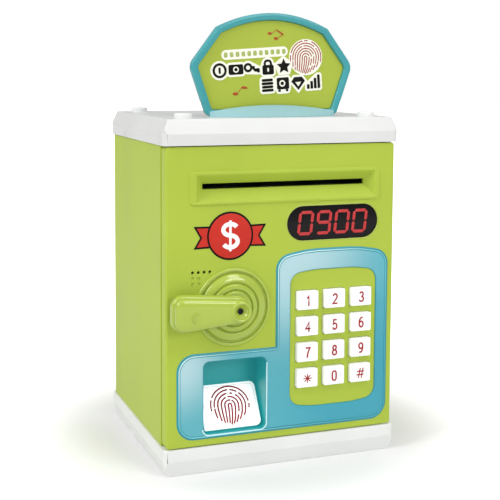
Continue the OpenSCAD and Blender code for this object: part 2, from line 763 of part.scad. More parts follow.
module display_digits() color("red") upright(y_front + lens_recess - 0.15, 0.15)
    for (i = [0 : 3]) translate([display_x + (i - 1.5) * digit_pitch, display_z])
        multmatrix([[1, 0.07, 0, 0], [0, 1, 0, 0], [0, 0, 1, 0]]) figure(i == 1 ? NINE : ZERO);

module display_module() color("dimgray")
    block([display_x - 24, display_x + 24], [y_plate + 0.4, y_board], [display_z - 7.7, display_z + 7.7]);

module badge_label() color("crimson") upright(y_front - label_t, label_t)
    translate([badge_x, badge_z]) {
        circle(badge_r);
        polygon([[-19.5, 5], [19.5, 5], [16.5, -0.5], [19.5, -6], [-19.5, -6], [-16.5, -0.5]]);
    }

module key_membrane() color("lightgray") difference() {
    union() {
        upright(y_membrane, membrane_t) translate([keypad_x, keypad_z]) square([46.5, 57], center = true);
        for (i = key_indices) rod_y(key_x(i), key_z(i), y_membrane - collar_h, y_membrane, key_stem_r + 1.6);
    }
    for (i = key_indices) rod_y(key_x(i), key_z(i), y_membrane - collar_h - cut, y_membrane, key_stem_r + 0.4);
}

module keycap(i) color("white") translate([key_x(i), 0, key_z(i)]) {
    upright(y_front - key_proud, key_proud + door_plate + 0.1) rounded(key_w, key_h, 0.8);
    upright(y_plate, key_flange) rounded(key_w + 1.8, key_h + 1.8, 0.8);
    rod_y(0, 0, y_key_flange - 0.1, y_membrane - key_travel - key_end_gap, key_stem_r);
}

module main_board() color("darkgreen") difference() {
    union() {
        block([board_x0, board_x1], [y_board, y_board + board_t], [board_z0, board_z1]);
        block([keypad_x - 20, keypad_x - 8], [y_board + board_t, y_board + board_t + 1.2], [battery_z0 + 66, battery_z0 + 78]);
        block([keypad_x + 2, keypad_x + 8], [y_board + board_t, y_board + board_t + 1.6], [battery_z0 + 68, battery_z0 + 76]);
    }
    for (at = board_screws) rod_y(at[0], at[1], y_board - cut, y_board + board_t + cut, small_screw_r + 0.3);
}

module speaker() color("dimgray") {
    rod_y(speaker_x, speaker_z, y_plate, y_plate + 2.2, speaker_r);
    rod_y(speaker_x, speaker_z, y_plate + 2.1, y_plate + 5.2, speaker_r - 6.6);
}

module inner_screws() color("silver") {
    for (at = board_screws)
        door_way_screw(at[0], at[1], y_board + board_t, 1.7, 0.9, small_screw_r, 5.5);
    for (at = lock_screws)
        door_way_screw(at[0], at[1], bolt_y0 - case_front + 2, 1.7, 0.9, small_screw_r, 5.5);
    for (at = feeder_screws)
        door_way_screw(at[0], at[1], y_funnel + 1.6, 1.7, 0.9, small_screw_r, 4.5);
}

// ---- Note feeder ----

module feeder_frame() color("gainsboro") difference() {
    y1 = roller_y + 9.5;
    union() {
        block([cheek_x0, cheek_x0 + cheek_t], [y_funnel, y1], [drive_z - 7, idler_z + 6]);
        block([cheek_x1, cheek_x1 + cheek_t], [y_funnel, y1], [board_z1 + 0.6, idler_z + 6]);
        block([cheek_x1, cheek_x1 + cheek_t], [y_board + board_t + 0.2, y1], [motor_z - 9, idler_z]);
        for (z = [slot_z - slot_h / 2 - 1.6, slot_z + slot_h / 2]) {
            block([cheek_x0, cheek_x1 + cheek_t], [y_funnel, roller_y - drive_r - 0.6], [z, z + 1.6]);
            block([cheek_x0, cheek_x1 + cheek_t], [roller_y + drive_r + 0.6, y1], [z, z + 1.6]);
        }
        block([cheek_x0, cheek_x1 + cheek_t], [y_funnel, y_funnel + 1.6], [slot_z + slot_h / 2, slot_z + 15.5]);
    }
    for (x = [cheek_x0 - cut, cheek_x1 - cut]) {
        rod_x(roller_y, drive_z, x, x + cheek_t + 2 * cut, roller_shaft_r + running_gap);
        rod_x(roller_y, idler_z, x, x + cheek_t + 2 * cut, roller_shaft_r + running_gap);
    }
    rod_x(roller_y, motor_z, cheek_x1 - cut, cheek_x1 + cheek_t + cut, motor_shaft_r + running_gap);
    for (at = feeder_screws) rod_y(at[0], at[1], y_funnel - cut, y_funnel + 1.6 + cut, small_screw_r + 0.3);
}

module drive_roller() color("dimgray") {
    rod_x(roller_y, drive_z, cheek_x0 - 0.5, gear_x, roller_shaft_r);
    for (x = [-30, 0, 30]) rod_x(roller_y, drive_z, slot_x + x - 8, slot_x + x + 8, drive_r);
    rod_x(roller_y, drive_z, slot_x - slot_l / 2 + 1, slot_x + slot_l / 2 - 1, 3);
}

module idler_roller() color("gray") {
    rod_x(roller_y, idler_z, cheek_x0 - 0.5, cheek_x1 + cheek_t + 0.2, roller_shaft_r);
    for (x = [-30, 0, 30]) rod_x(roller_y, idler_z, slot_x + x - 8, slot_x + x + 8, idler_r);
}

module roller_gear() color("white") translate([gear_x, roller_y, drive_z])
    rotate([0, 90, 0]) linear_extrude(gear_t) rotate(180 / roller_teeth) spur(gear_module, roller_teeth);

module motor_gear() color("goldenrod") {
    translate([gear_x, roller_y, motor_z]) rotate([0, 90, 0]) linear_extrude(gear_t)
        rotate(motor_teeth % 2 == 0 ? 0 : 180 / motor_teeth) spur(gear_module, motor_teeth);
    rod_x(roller_y, motor_z, cheek_x1 - 6, gear_x, motor_shaft_r);
}

module feed_motor() color("silver") difference() {
    intersection() {
        rod_x(roller_y, motor_z, cheek_x1 - motor_l, cheek_x1, motor_w / 2);
        block([cheek_x1 - motor_l, cheek_x1], [roller_y - motor_w, roller_y + motor_w],
              [motor_z - motor_thick / 2, motor_z + motor_thick / 2]);
    }
    rod_x(roller_y, motor_z, cheek_x1 - 7, cheek_x1 + cut, motor_shaft_r + running_gap);
}

// ---- Housing, batteries and switch ----

bay_x0 = battery_x - battery_pitch - battery_r - 0.4;
bay_x1 = battery_x + battery_pitch + battery_r + 0.4;
bay_z0 = battery_z0 - 2;
bay_z1 = battery_z0 + battery_l + 2;
bay_y = battery_y - battery_r - 0.2;
cover_margin = 2.4;
cover_screw_z = bay_z1 + 5;
switch_x = housing_x0 + 14;
switch_z = z_ceil - 44;
switch_travel = 3;

module door_housing() color("yellowgreen") difference() {
    union() {
        difference() {
            union() {
                block([housing_x0, housing_x1], [y_flange, y_housing], [housing_z0, housing_z1]);
                block([door_x0 + skirt_wall + 0.2, housing_x1], [y_flange, y_skirt], [housing_z0, door_z1 - skirt_wall - 0.2]);
                block([housing_x1 - cut, door_x1 - skirt_wall - 0.2], [y_flange, y_skirt],
                      [door_z0 + pin_bush_l + 1, door_z1 - pin_bush_l - 1]);
            }
            block([housing_x0 + cover_wall, housing_x1 - cover_wall], [y_flange - cut, y_housing - cover_wall],
                  [housing_z0 + cover_wall, housing_z1 - cover_wall]);
        }
        block([bay_x0 - cover_wall, bay_x1 + cover_wall], [bay_y - cover_wall, y_housing],
              [bay_z0 - cover_wall, bay_z1 + cover_wall]);
        rod_y(battery_x, cover_screw_z, y_housing - 8, y_housing - cover_wall / 2, small_boss_r + 0.4);
    }
    block([bay_x0, bay_x1], [bay_y, y_housing + cut], [bay_z0, bay_z1]);
    rod_y(battery_x, cover_screw_z, y_housing - 7, y_housing + cut, small_screw_r + 0.2);
    block([slot_x - slot_l / 2 - 1, slot_x + slot_l / 2 + 1], [y_housing - cover_wall - cut, y_housing + cut],
          [slot_z - 5, slot_z + 5]);
    block([housing_x0 - cut, housing_x0 + cover_wall + cut], [bolt_y0 - 0.4, bolt_y1 + 0.4], [bolt_root - 0.4, bolt_top + 0.4]);
    block([switch_x - 2.2, switch_x + 2.2], [y_housing - cover_wall - cut, y_housing + cut],
          [switch_z - 2.2, switch_z + 2.2 + switch_travel]);
    for (at = door_screws_at) {
        rod_y(at[0], at[1], y_flange - cut, y_skirt + cut, small_screw_r + 0.3);
        rod_y(at[0], at[1], y_skirt - 1.1, y_skirt + cut, 1.9);
    }
}

module power_switch() color("black") {
    block([switch_x - 2, switch_x + 2], [y_housing - cover_wall - 0.8, y_housing + 1.6], [switch_z - 2, switch_z + 2]);
    block([switch_x - 4, switch_x + 4], [y_housing - cover_wall - 1.1, y_housing - cover_wall - 0.05],
          [switch_z - 6, switch_z + 6]);
}

module battery_cover() color("yellowgreen") difference() {
    union() {
        block([bay_x0 - cover_margin, bay_x1 + cover_margin], [y_housing, y_housing + 1.5],
              [bay_z0 - cover_margin, cover_screw_z + 4]);
        block([bay_x0 + 0.2, bay_x1 - 0.2], [y_housing - 1.5, y_housing + 0.1], [bay_z0 + 0.2, bay_z1 - 0.2]);
    }
    rod_y(battery_x, cover_screw_z, y_housing - cut, y_housing + 3, small_screw_r + 0.3);
    for (i = [-3 : 3]) block([battery_x - 8, battery_x + 8], [y_housing + 1, y_housing + 3],
                             [bay_z1 - 14 + 1.6 * i, bay_z1 - 13.2 + 1.6 * i]);
}

module battery_cover_screw() color("silver")
    door_way_screw(battery_x, cover_screw_z, y_housing + 1.5, 1.9, 1, small_screw_r, 7);

module batteries() color("steelblue") for (i = [-1 : 1]) {
    translate([battery_x + i * battery_pitch, battery_y, battery_z0]) {
        cylinder(r = battery_r, h = battery_l - 1.4);
        cylinder(r = 2.6, h = battery_l);
    }
}

module battery_contacts() color("silver") for (i = [-1 : 1]) {
    x = battery_x + i * battery_pitch;
    block([x - 5, x + 5], [battery_y - 5, battery_y + 5], [bay_z1 - 0.6, bay_z1]);
    rod_z(x, battery_y, battery_z0 + battery_l, bay_z1 - 0.5, 2);
    block([x - 5, x + 5], [battery_y - 5, battery_y + 5], [bay_z0, bay_z0 + 0.6]);
    rod_z(x, battery_y, bay_z0 + 0.5, battery_z0, 3);
}

module door_screws() color("silver") for (at = door_screws_at)
    door_way_screw(at[0], at[1], y_skirt - 1.1, 1.8, 0.9, small_screw_r, 3.2);

// ---- Lever and lock ----

module lever_outline(grow) translate([lever_x, lever_z]) hull() {
    circle(lever_hub_h / 2 + grow);
    for (s = [-1, 1]) translate([6 - lever_l, s * (lever_h / 2 - 6)]) circle(6 + grow);
}

module lever_front() color("yellowgreen") difference() {
    upright(lever_y1, lever_split_y - lever_y1) lever_outline(-0.6);
    rod_y(lever_x, lever_z, lever_y1 - cut, lever_split_y + cut, hub_hole_r);
    translate([lever_x, lever_y1 + 0.8, lever_z]) rotate([90, 0, 0]) rotate_extrude()
        translate([5.2, 0]) square([0.8, 2]);
}

module lever_back() color("yellowgreen") difference() {
    upright(lever_split_y, lever_y0 - lever_split_y) lever_outline(0);
    rod_y(lever_x, lever_z, lever_split_y - cut, lever_y0 + cut, hub_hole_r);
}

module lever_spindle() color("silver") difference() {
    union() {
        rod_y(lever_x, lever_z, lever_y0, bolt_y0 - slide_gap, spindle_r);
        rod_y(lever_x, lever_z, bolt_y0 - slide_gap - 0.1, bolt_y1 + 0.5, 3);
    }
    rod_y(lever_x, lever_z, lever_y0 - cut, lever_y0 + 10, screw_r);
}

module spindle_screw() color("darkslategray")
    translate([lever_x, lever_split_y, lever_z]) rotate([-90, 0, 0]) {
        cylinder(r = screw_r, h = lever_y0 - lever_split_y + 9);
        difference() {
            translate([0, 0, -1.4]) cylinder(r = hub_hole_r - 0.1, h = 1.5);
            for (a = [0, 90]) rotate(a) translate([-1.6, -0.35, -1.4 - cut]) cube([3.2, 0.7, cut + 0.8]);
        }
    }

// A tooth of the pinion points straight up at the rack's first gap
module lock_pinion() color("gold") difference() {
    upright(bolt_y0, bolt_y1 - bolt_y0) translate([lever_x, lever_z]) rotate(90) spur(pinion_module, pinion_teeth);
    rod_y(lever_x, lever_z, bolt_y0 - cut, bolt_y1 + cut, 3);
}

module lock_bolt() color("silver") {
    pitch = PI * pinion_module;
    z_pitch = lever_z + pitch_r;
    tip = 0.8 * pinion_module;
    slope = tan(pressure_angle);
    half = pitch / 4 - tooth_thin / 2;
    block([bolt_x0, bolt_x1], [bolt_y0, bolt_y1], [bolt_root, bolt_top]);
    for (i = [-4 : 4]) upright(bolt_y0, bolt_y1 - bolt_y0)
        translate([lever_x + (i + 0.5) * pitch, z_pitch])
            polygon([[-half - slope * 1.2, 1.2], [-half + slope * tip, -tip],
                     [half - slope * tip, -tip], [half + slope * 1.2, 1.2]]);
}

module lock_case() color("gainsboro") difference() {
    y0 = bolt_y0 - case_front;
    y1 = bolt_y1 + 1.8;
    union() {
        block([case_x0, case_x1], [y0, y1], [lever_z - 3, bolt_top + 2.2]);
        rod_y(lever_x, lever_z, y0, y1, pitch_r + 3.4);
        for (at = lock_screws) rod_y(at[0], at[1], y0, y0 + 2, 3.2);
        block([case_x0, lever_x], [y0, y0 + 2], [lever_z - 9, lever_z]);
    }
    block([case_x0 - cut, case_x1 + cut], [bolt_y0 - slide_gap, bolt_y1 + slide_gap],
          [bolt_root - slide_gap, bolt_top + slide_gap]);
    block([case_x0 - cut, case_x1 + cut], [bolt_y0 - slide_gap, bolt_y1 + slide_gap],
          [lever_z + pitch_r - 1.3, bolt_root]);
    rod_y(lever_x, lever_z, bolt_y0 - slide_gap, y1 + cut, pitch_r + 1.6);
    rod_y(lever_x, lever_z, y0 - cut, bolt_y0, spindle_r + running_gap);
    for (at = lock_screws) rod_y(at[0], at[1], y0 - cut, y1 + cut, small_screw_r + 0.3);
    for (at = lock_screws) rod_y(at[0], at[1], y0 + 2, y1 + cut, 2.2);
}

// ---- Nodes ----

cabinet_shell();
lid();
screw_plugs();
base();
sign_frame();
sign_panel();
sign_label();
strike_plate();
hinge_pins();
lid_screws();
base_screws();
door_front();
keypad_bezel();
lever_dial();
display_lens();
display_digits();
display_module();
badge_label();
key_membrane();
main_board();
speaker();
feeder_frame();
feed_motor();
batteries();
battery_contacts();
door_housing();
battery_cover();
battery_cover_screw();
door_screws();
inner_screws();
microswitch();
lock_case();
lever_front();
lever_back();
lever_spindle();
lock_pinion();
spindle_screw();
lock_bolt();
touch_pad();
touch_label();
drive_roller();
roller_gear();
idler_roller();
motor_gear();
power_switch();
for (i = key_indices) keycap(i);
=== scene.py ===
"""Toy safe coin bank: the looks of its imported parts, with a camera, soft lights and a pale floor."""
import json
import math
import random

import bmesh
import bpy
from mathutils import Matrix, Vector


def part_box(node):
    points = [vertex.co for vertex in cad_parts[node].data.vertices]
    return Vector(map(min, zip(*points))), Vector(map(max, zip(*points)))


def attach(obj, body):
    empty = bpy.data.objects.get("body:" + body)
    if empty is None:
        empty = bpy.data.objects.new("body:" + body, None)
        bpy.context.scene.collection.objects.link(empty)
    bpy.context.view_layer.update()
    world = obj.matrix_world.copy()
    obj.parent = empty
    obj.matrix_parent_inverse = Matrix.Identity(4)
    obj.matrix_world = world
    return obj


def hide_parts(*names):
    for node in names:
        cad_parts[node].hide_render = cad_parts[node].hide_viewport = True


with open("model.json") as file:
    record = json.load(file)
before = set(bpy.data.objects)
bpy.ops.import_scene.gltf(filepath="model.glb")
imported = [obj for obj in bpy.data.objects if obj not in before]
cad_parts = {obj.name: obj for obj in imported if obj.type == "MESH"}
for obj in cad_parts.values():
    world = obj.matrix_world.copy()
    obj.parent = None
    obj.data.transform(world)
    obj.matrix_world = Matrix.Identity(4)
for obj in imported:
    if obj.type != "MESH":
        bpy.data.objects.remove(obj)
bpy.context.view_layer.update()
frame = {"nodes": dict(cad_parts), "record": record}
NODES = frame["nodes"]
MM = 0.001
TAU = 2 * math.pi


# ---- Shader wiring ----

class Wire:
    """A shader value that takes part in sums: each operator adds a Math node."""

    def __init__(self, graph, socket):
        self.graph, self.socket = graph, socket

    def _math(self, operation, a, b):
        return self.graph.add("ShaderNodeMath", {"operation": operation}, {0: a, 1: b})

    def __add__(self, other):
        return self._math("ADD", self, other)

    def __radd__(self, other):
        return self._math("ADD", other, self)

    def __mul__(self, other):
        return self._math("MULTIPLY", self, other)

    def __rmul__(self, other):
        return self._math("MULTIPLY", other, self)


class Graph:
    """One material's node tree, around a Principled shader."""

    def __init__(self, name):
        self.material = bpy.data.materials.new(name)
        self.material.use_nodes = True
        self.tree = self.material.node_tree
        self.shader = self.tree.nodes["Principled BSDF"]

    def add(self, kind, settings=None, inputs=None, output=0):
        """Any node: its settings first, then the values or links of its sockets."""
        node = self.tree.nodes.new(kind)
        for key, value in (settings or {}).items():
            setattr(node, key, value)
        for key, value in (inputs or {}).items():
            self.feed(node.inputs[key], value)
        return Wire(self, node.outputs[output])

    def feed(self, socket, value):
        if isinstance(value, Wire):
            self.tree.links.new(value.socket, socket)
        else:
            socket.default_value = value

    def set(self, **values):
        """Feeds the shader's sockets, which are named with underscores for spaces."""
        for key, value in values.items():
            self.feed(self.shader.inputs[key.replace("_", " ")], value)

    def place(self):
        return self.add("ShaderNodeTexCoord", output="Object")

    def mottle(self, scale, detail=3.0, roughness=0.5, vector=None):
        return self.add("ShaderNodeTexNoise", None, {"Vector": vector or self.place(), "Scale": scale,
                                                     "Detail": detail, "Roughness": roughness})

    def stretched(self, x, y, z):
        """Object coordinates scaled along each axis."""
        return self.add("ShaderNodeMapping", None, {"Vector": self.place(), "Scale": (x, y, z)})

    def distance_to(self, x, y, z):
        """Distance from a place in the object, in millimetres."""
        away = self.add("ShaderNodeVectorMath", {"operation": "DISTANCE"},
                        {0: self.place(), 1: (x * MM, y * MM, z * MM)}, output="Value")
        return away * 1000.0

    def blend(self, factor, a, b):
        """A mix of two colours."""
        return self.add("ShaderNodeMix", {"data_type": "RGBA"}, {0: factor, 6: a, 7: b}, output=2)

    def range(self, value, low, high, to_low=0.0, to_high=1.0, smooth=False):
        return self.add("ShaderNodeMapRange", {"interpolation_type": "SMOOTHSTEP" if smooth else "LINEAR"},
                        {0: value, 1: low, 2: high, 3: to_low, 4: to_high})

    def bump(self, height, strength, distance):
        return self.add("ShaderNodeBump", None,
                        {"Height": height, "Strength": strength, "Distance": distance})


def rgb(r, g, b):
    """A screen colour, 0 to 255, as the renderer's linear colour."""
    def linear(c):
        c /= 255
        return c / 12.92 if c <= 0.04045 else ((c + 0.055) / 1.055) ** 2.4
    return (linear(r), linear(g), linear(b), 1.0)


def shade(colour, k):
    return (*(min(1.0, c * k) for c in colour[:3]), 1.0)


# ---- Finishes ----

def moulded(name, colour, roughness=0.35, coat=0.0, grain=0.012, ior=1.46, glow=0.0):
    """Injection-moulded plastic: faint flow mottling, a fine spark texture and uneven polish."""
    g = Graph(name)
    cloud = g.mottle(28.0, 2.0)
    spark = g.mottle(2600.0, 2.0, 0.6)
    flow = g.range(cloud, 0.3, 0.7)
    base = g.blend(flow, shade(colour, 0.965), shade(colour, 1.025))
    g.set(Base_Color=base,
          Roughness=g.range(cloud * 0.6 + spark * 0.4, 0.3, 0.7, roughness - 0.04, roughness + 0.05),
          Normal=g.bump(spark, 0.22, grain * MM), Coat_Weight=coat, Coat_Roughness=0.12, IOR=ior)
    # glow is painted light: an even emission that makes a part look brighter than the lamps make it.
    if glow:
        g.set(Emission_Color=base, Emission_Strength=glow)
    return g.material


def printed(name, colour, roughness=0.42, ior=1.4):
    """Screen-printed ink: a faint dot screen in tone and height, and thin places."""
    g = Graph(name)
    thin = g.mottle(420.0, 4.0, 0.65)
    dots = g.add("ShaderNodeTexVoronoi", None, {"Vector": g.place(), "Scale": 3800.0, "Randomness": 0.2})
    g.set(Base_Color=g.blend(g.range(thin, 0.35, 0.75), shade(colour, 0.95), shade(colour, 1.06)),
          Roughness=g.range(thin, 0.3, 0.7, roughness - 0.05, roughness + 0.08),
          Normal=g.bump(dots, 0.12, 0.01 * MM), IOR=ior)
    return g.material


def teal_face(name, painted_highlight, mid, deep):
    """Glossy teal with painted light: it pales towards the upper left of each arm of the bezel, a painted
    highlight, and deepens towards the lower right, painted shade.
    """
    g = Graph(name)
    # Painted highlight: a soft pale patch at the upper left of each arm.
    low_arm = g.range(g.distance_to(-60, -55.8, 60), 4.0, 36.0, 1.0, 0.0, True)
    high_arm = g.range(g.distance_to(2, -55.8, 112), 6.0, 62.0, 1.0, 0.0, True)
    glow = g.add("ShaderNodeMath", {"operation": "MAXIMUM"}, {0: low_arm, 1: high_arm})
    # Painted shade: the teal deepens towards the lower right.
    fall = g.range(g.distance_to(66, -55.8, 16), 30.0, 110.0, 0.0, 1.0, True)
    cloud = g.mottle(60.0, 2.0)
    flow = g.range(cloud, 0.3, 0.7, -0.04, 0.04)
    ground = g.blend(fall + flow, deep, mid)
    spark = g.mottle(2600.0, 2.0, 0.6)
    g.set(Base_Color=g.blend(glow * 0.85, ground, painted_highlight),
          Roughness=g.range(spark, 0.3, 0.7, 0.2, 0.28), Normal=g.bump(spark, 0.15, 0.008 * MM),
          Coat_Weight=0.3, Coat_Roughness=0.08)
    return g.material


def brushed(name, colour, roughness, metallic=1.0):
    """Turned or rolled metal: fine lines along one axis and a few dull patches."""
    g = Graph(name)
    lines = g.mottle(900.0, 3.0, 0.6, g.stretched(1.0, 1.0, 0.06))
    dull = g.mottle(120.0, 3.0)
    g.set(Base_Color=g.blend(g.range(dull, 0.35, 0.7), shade(colour, 0.9), shade(colour, 1.05)),
          Metallic=metallic,
          Roughness=g.range(lines * 0.5 + dull * 0.5, 0.3, 0.7, roughness - 0.08, roughness + 0.1),
          Normal=g.bump(lines, 0.2, 0.01 * MM))
    return g.material


def rubbery(name, colour, roughness):
    g = Graph(name)
    pores = g.mottle(1800.0, 4.0, 0.7)
    dust = g.mottle(90.0, 3.0)
    g.set(Base_Color=g.blend(g.range(dust, 0.4, 0.75), shade(colour, 0.92), shade(colour, 1.18)),
          Roughness=g.range(pores, 0.3, 0.7, roughness - 0.05, min(1.0, roughness + 0.08)),
          Normal=g.bump(pores, 0.35, 0.02 * MM))
    return g.material


def lacquered_board(name):
    """Green solder mask with faint tracks under it and speckled gloss."""
    g = Graph(name)
    tracks = g.add("ShaderNodeTexBrick", {"offset": 0.35, "squash": 1.6},
                   {"Vector": g.place(), "Scale": 260.0, "Mortar Size": 0.03,
                    "Color1": (0, 0, 0, 1), "Color2": (0.25, 0.25, 0.25, 1), "Mortar": (1, 1, 1, 1)})
    fleck = g.mottle(800.0, 2.0)
    g.set(Base_Color=g.blend(tracks, rgb(18, 88, 42), rgb(40, 128, 66)),
          Roughness=g.range(fleck, 0.3, 0.7, 0.28, 0.42), Normal=g.bump(tracks, 0.3, 0.03 * MM))
    return g.material


def lens(name, colour):
    """Smoked window: nearly black and highly polished, with a trace of haze."""
    g = Graph(name)
    haze = g.mottle(160.0, 3.0)
    g.set(Base_Color=g.blend(g.range(haze, 0.3, 0.7), shade(colour, 0.9), shade(colour, 1.3)),
          Roughness=g.range(haze, 0.3, 0.7, 0.1, 0.17), IOR=1.3)
    return g.material


def lit(name, colour, strength):
    """A glowing bar whose light varies a little from spot to spot."""
    g = Graph(name)
    cells = g.mottle(1500.0, 2.0)
    tone = g.blend(g.range(cells, 0.3, 0.7), shade(colour, 0.86), shade(colour, 1.1))
    g.set(Base_Color=tone, Roughness=0.4, Emission_Color=tone, Emission_Strength=strength)
    return g.material


GREEN = rgb(178, 198, 72)
WHITE = rgb(238, 239, 237)
TEAL = rgb(64, 164, 182)
RED = rgb(204, 48, 36)
INK = rgb(12, 12, 8)

plastic = {
    "green": moulded("green_plastic", GREEN, 0.36, ior=1.28),
    "green_gloss": moulded("green_gloss", shade(GREEN, 0.95), 0.14, coat=0.6),
    "white": moulded("white_plastic", WHITE, 0.36),
    # The white keys, the badge's white sign and the touch pad glow a little: painted light that whitens them.
    "key": moulded("key_white", rgb(252, 252, 252), 0.3, glow=0.1),
    "pad": moulded("pad_white", rgb(252, 252, 252), 0.4, glow=0.5),
    "teal": moulded("teal_plastic", TEAL, 0.24, coat=0.2),
    # The well pocket glows a little: painted light in the shade of its hollow.
    "teal_deep": moulded("teal_deep", rgb(40, 158, 160), 0.32, glow=0.18),
    # The bezel's face and its ridge line carry a painted highlight at the upper left of each arm and painted
    # shade towards the lower right; the ridge line is paler still, a painted highlight along the ridge.
    "teal_face": teal_face("teal_face", rgb(192, 224, 230), rgb(92, 180, 194), rgb(56, 162, 182)),
    "teal_highlight_line": teal_face("teal_highlight_line", rgb(222, 250, 255), rgb(120, 206, 218), rgb(64, 166, 184)),
    # A paler copy of the sign frame's teal for its sloped foot: painted light.
    "teal_painted_lit": moulded("teal_painted_lit", rgb(152, 196, 202), 0.3),
    # A darker teal for the bezel's border and side walls: painted shade.
    "shaded_teal_rim": moulded("shaded_teal_rim", rgb(44, 148, 162), 0.36),
    # A near-white, glowing teal: a painted highlight along the lower right of the well's mouth.
    "painted_highlight_teal": moulded("painted_highlight_teal", rgb(208, 240, 244), 0.25, glow=0.1),
    # A greyer copy of the white plastic for the lid: painted shade.
    "shaded_lid_white": moulded("shaded_lid_white", rgb(224, 225, 223), 0.3, coat=0.1),
    "sign_green": moulded("sign_green", rgb(172, 188, 64), 0.5, ior=1.35),
    "sign_teal": moulded("sign_teal", rgb(58, 158, 164), 0.26, coat=0.2),
    "ivory": printed("sign_print", rgb(252, 252, 236)),
    "ink": printed("black_print", INK, 0.6, 1.25),
    "moss": printed("moss_print", rgb(170, 186, 104)),
    "rust": printed("rust_print", rgb(176, 70, 20)),
    "red": printed("red_print", RED, 0.5, 1.3),
    "legend": printed("legend_print", rgb(168, 30, 34), 0.5, 1.3),
    "ridge": printed("ridge_print", rgb(160, 44, 46), 0.5, 1.3),
    "line": printed("line_print", rgb(214, 196, 198)),
    "glow": lit("red_segments", rgb(190, 42, 44), 0.1),
    "lens": lens("lens_black", rgb(16, 12, 14)),
    "dark": moulded("dark_plastic", rgb(38, 38, 40), 0.5),
    "steel": brushed("steel", rgb(190, 190, 192), 0.3),
}
by_slot = {
    "green_plastic": plastic["green"], "white_plastic": plastic["white"], "key_white": plastic["key"],
    "teal_plastic": plastic["teal"], "sign_green": plastic["sign_green"], "sign_print": plastic["ivory"],
    "red_print": plastic["red"], "lens_black": plastic["lens"], "red_segments": plastic["glow"],
    "dark_plastic": plastic["dark"], "steel": plastic["steel"],
    "inner_plastic": moulded("inner_plastic", rgb(205, 206, 200), 0.5),
    "silicone": rubbery("silicone", rgb(190, 192, 190), 0.6),
    "roller_rubber": rubbery("roller_rubber", rgb(35, 35, 35), 0.8),
    "circuit_board": lacquered_board("circuit_board"),
    "brass": brushed("brass", rgb(205, 165, 90), 0.3),
    "battery_wrap": printed("battery_wrap", rgb(40, 70, 120), 0.3),
}
for part in frame["record"]["subparts"]:
    solid = NODES[part["node"]]
    solid.data.materials.clear()
    solid.data.materials.append(by_slot[part["material_slot"]])


# ---- Outlines, in millimetres: u to the right, v up ----

def rounded(corners, step=7.5):
    """A closed outline, anticlockwise, through corners (u, v, radius)."""
    points = []
    count = len(corners)
    for i, (u, v, r) in enumerate(corners):
        here = Vector((u, v))
        if r == 0:
            points.append(here)
            continue
        a = (Vector(corners[i - 1][:2]) - here).normalized()
        b = (Vector(corners[(i + 1) % count][:2]) - here).normalized()
        half = a.angle(b) / 2
        centre = here + (a + b).normalized() * (r / math.sin(half))
        start, end = (here + side * (r / math.tan(half)) - centre for side in (a, b))
        first = math.atan2(start.y, start.x)
        sweep = (math.atan2(end.y, end.x) - first + math.pi) % TAU - math.pi
        steps = max(2, math.ceil(abs(sweep) / math.radians(step)))
        angles = [first + sweep * k / steps for k in range(steps + 1)]
        points += [centre + r * Vector((math.cos(angle), math.sin(angle))) for angle in angles]
    return points


def box(u, v, width, height, r, step=7.5):
    """A rectangle with round corners, centred at (u, v)."""
    a, b = width / 2, height / 2
    return rounded([(u - a, v - b, r), (u + a, v - b, r), (u + a, v + b, r), (u - a, v + b, r)], step)


def ring(u, v, r, sides=48, squeeze=1.0, tilt=0.0):
    """A round or oval outline, anticlockwise."""
    turn = Matrix.Rotation(math.radians(tilt), 2)
    angles = [TAU * k / sides for k in range(sides)]
    return [Vector((u, v)) + turn @ Vector((r * math.cos(angle), r * squeeze * math.sin(angle)))
            for angle in angles]


def hull(points):
    """The convex outline round some points, anticlockwise."""
    points = sorted({(round(p[0], 4), round(p[1], 4)) for p in points})
    sides = []
    for run in (points, points[::-1]):
        chain = []
        for p in run:
            while len(chain) > 1 and ((chain[-1][0] - chain[-2][0]) * (p[1] - chain[-2][1])
                                      - (chain[-1][1] - chain[-2][1]) * (p[0] - chain[-2][0])) <= 0:
                chain.pop()
            chain.append(p)
        sides += chain[:-1]
    return [Vector(p) for p in sides]


def bow(u0, u1, v, rise, steps=24):
    """A shallow arch from (u0, v) to (u1, v)."""
    return [Vector((u0 + (u1 - u0) * k / steps, v + rise * 4 * (k / steps) * (1 - k / steps)))
            for k in range(steps + 1)]


def inset(points, distance):
    """Moves a closed outline to the left of its travel, with mitred corners."""
    moved = []
    for i, p in enumerate(points):
        a = (p - points[i - 1]).normalized()
        b = (points[(i + 1) % len(points)] - p).normalized()
        left = Vector((-(a.y + b.y), a.x + b.x)).normalized()
        moved.append(p + left * (distance / max(0.4, left.dot(Vector((-a.y, a.x))))))
    return moved


def turned(points, u, v, degrees):
    """An outline turned about the origin and then shifted."""
    turn = Matrix.Rotation(math.radians(degrees), 2)
    return [turn @ Vector(p) + Vector((u, v)) for p in points]


def level(points, height):
    """An outline as (u, v, w) points, all at one height."""
    return [(p.x, p.y, height) for p in points]


# ---- Meshes, in millimetres: w comes towards the viewer ----

FRONT = Matrix(((1, 0, 0, 0), (0, 0, -1, 0), (0, 1, 0, 0), (0, 0, 0, 1)))
UP = Matrix.Identity(4)
TO_METRES = Matrix.Scale(MM, 4)


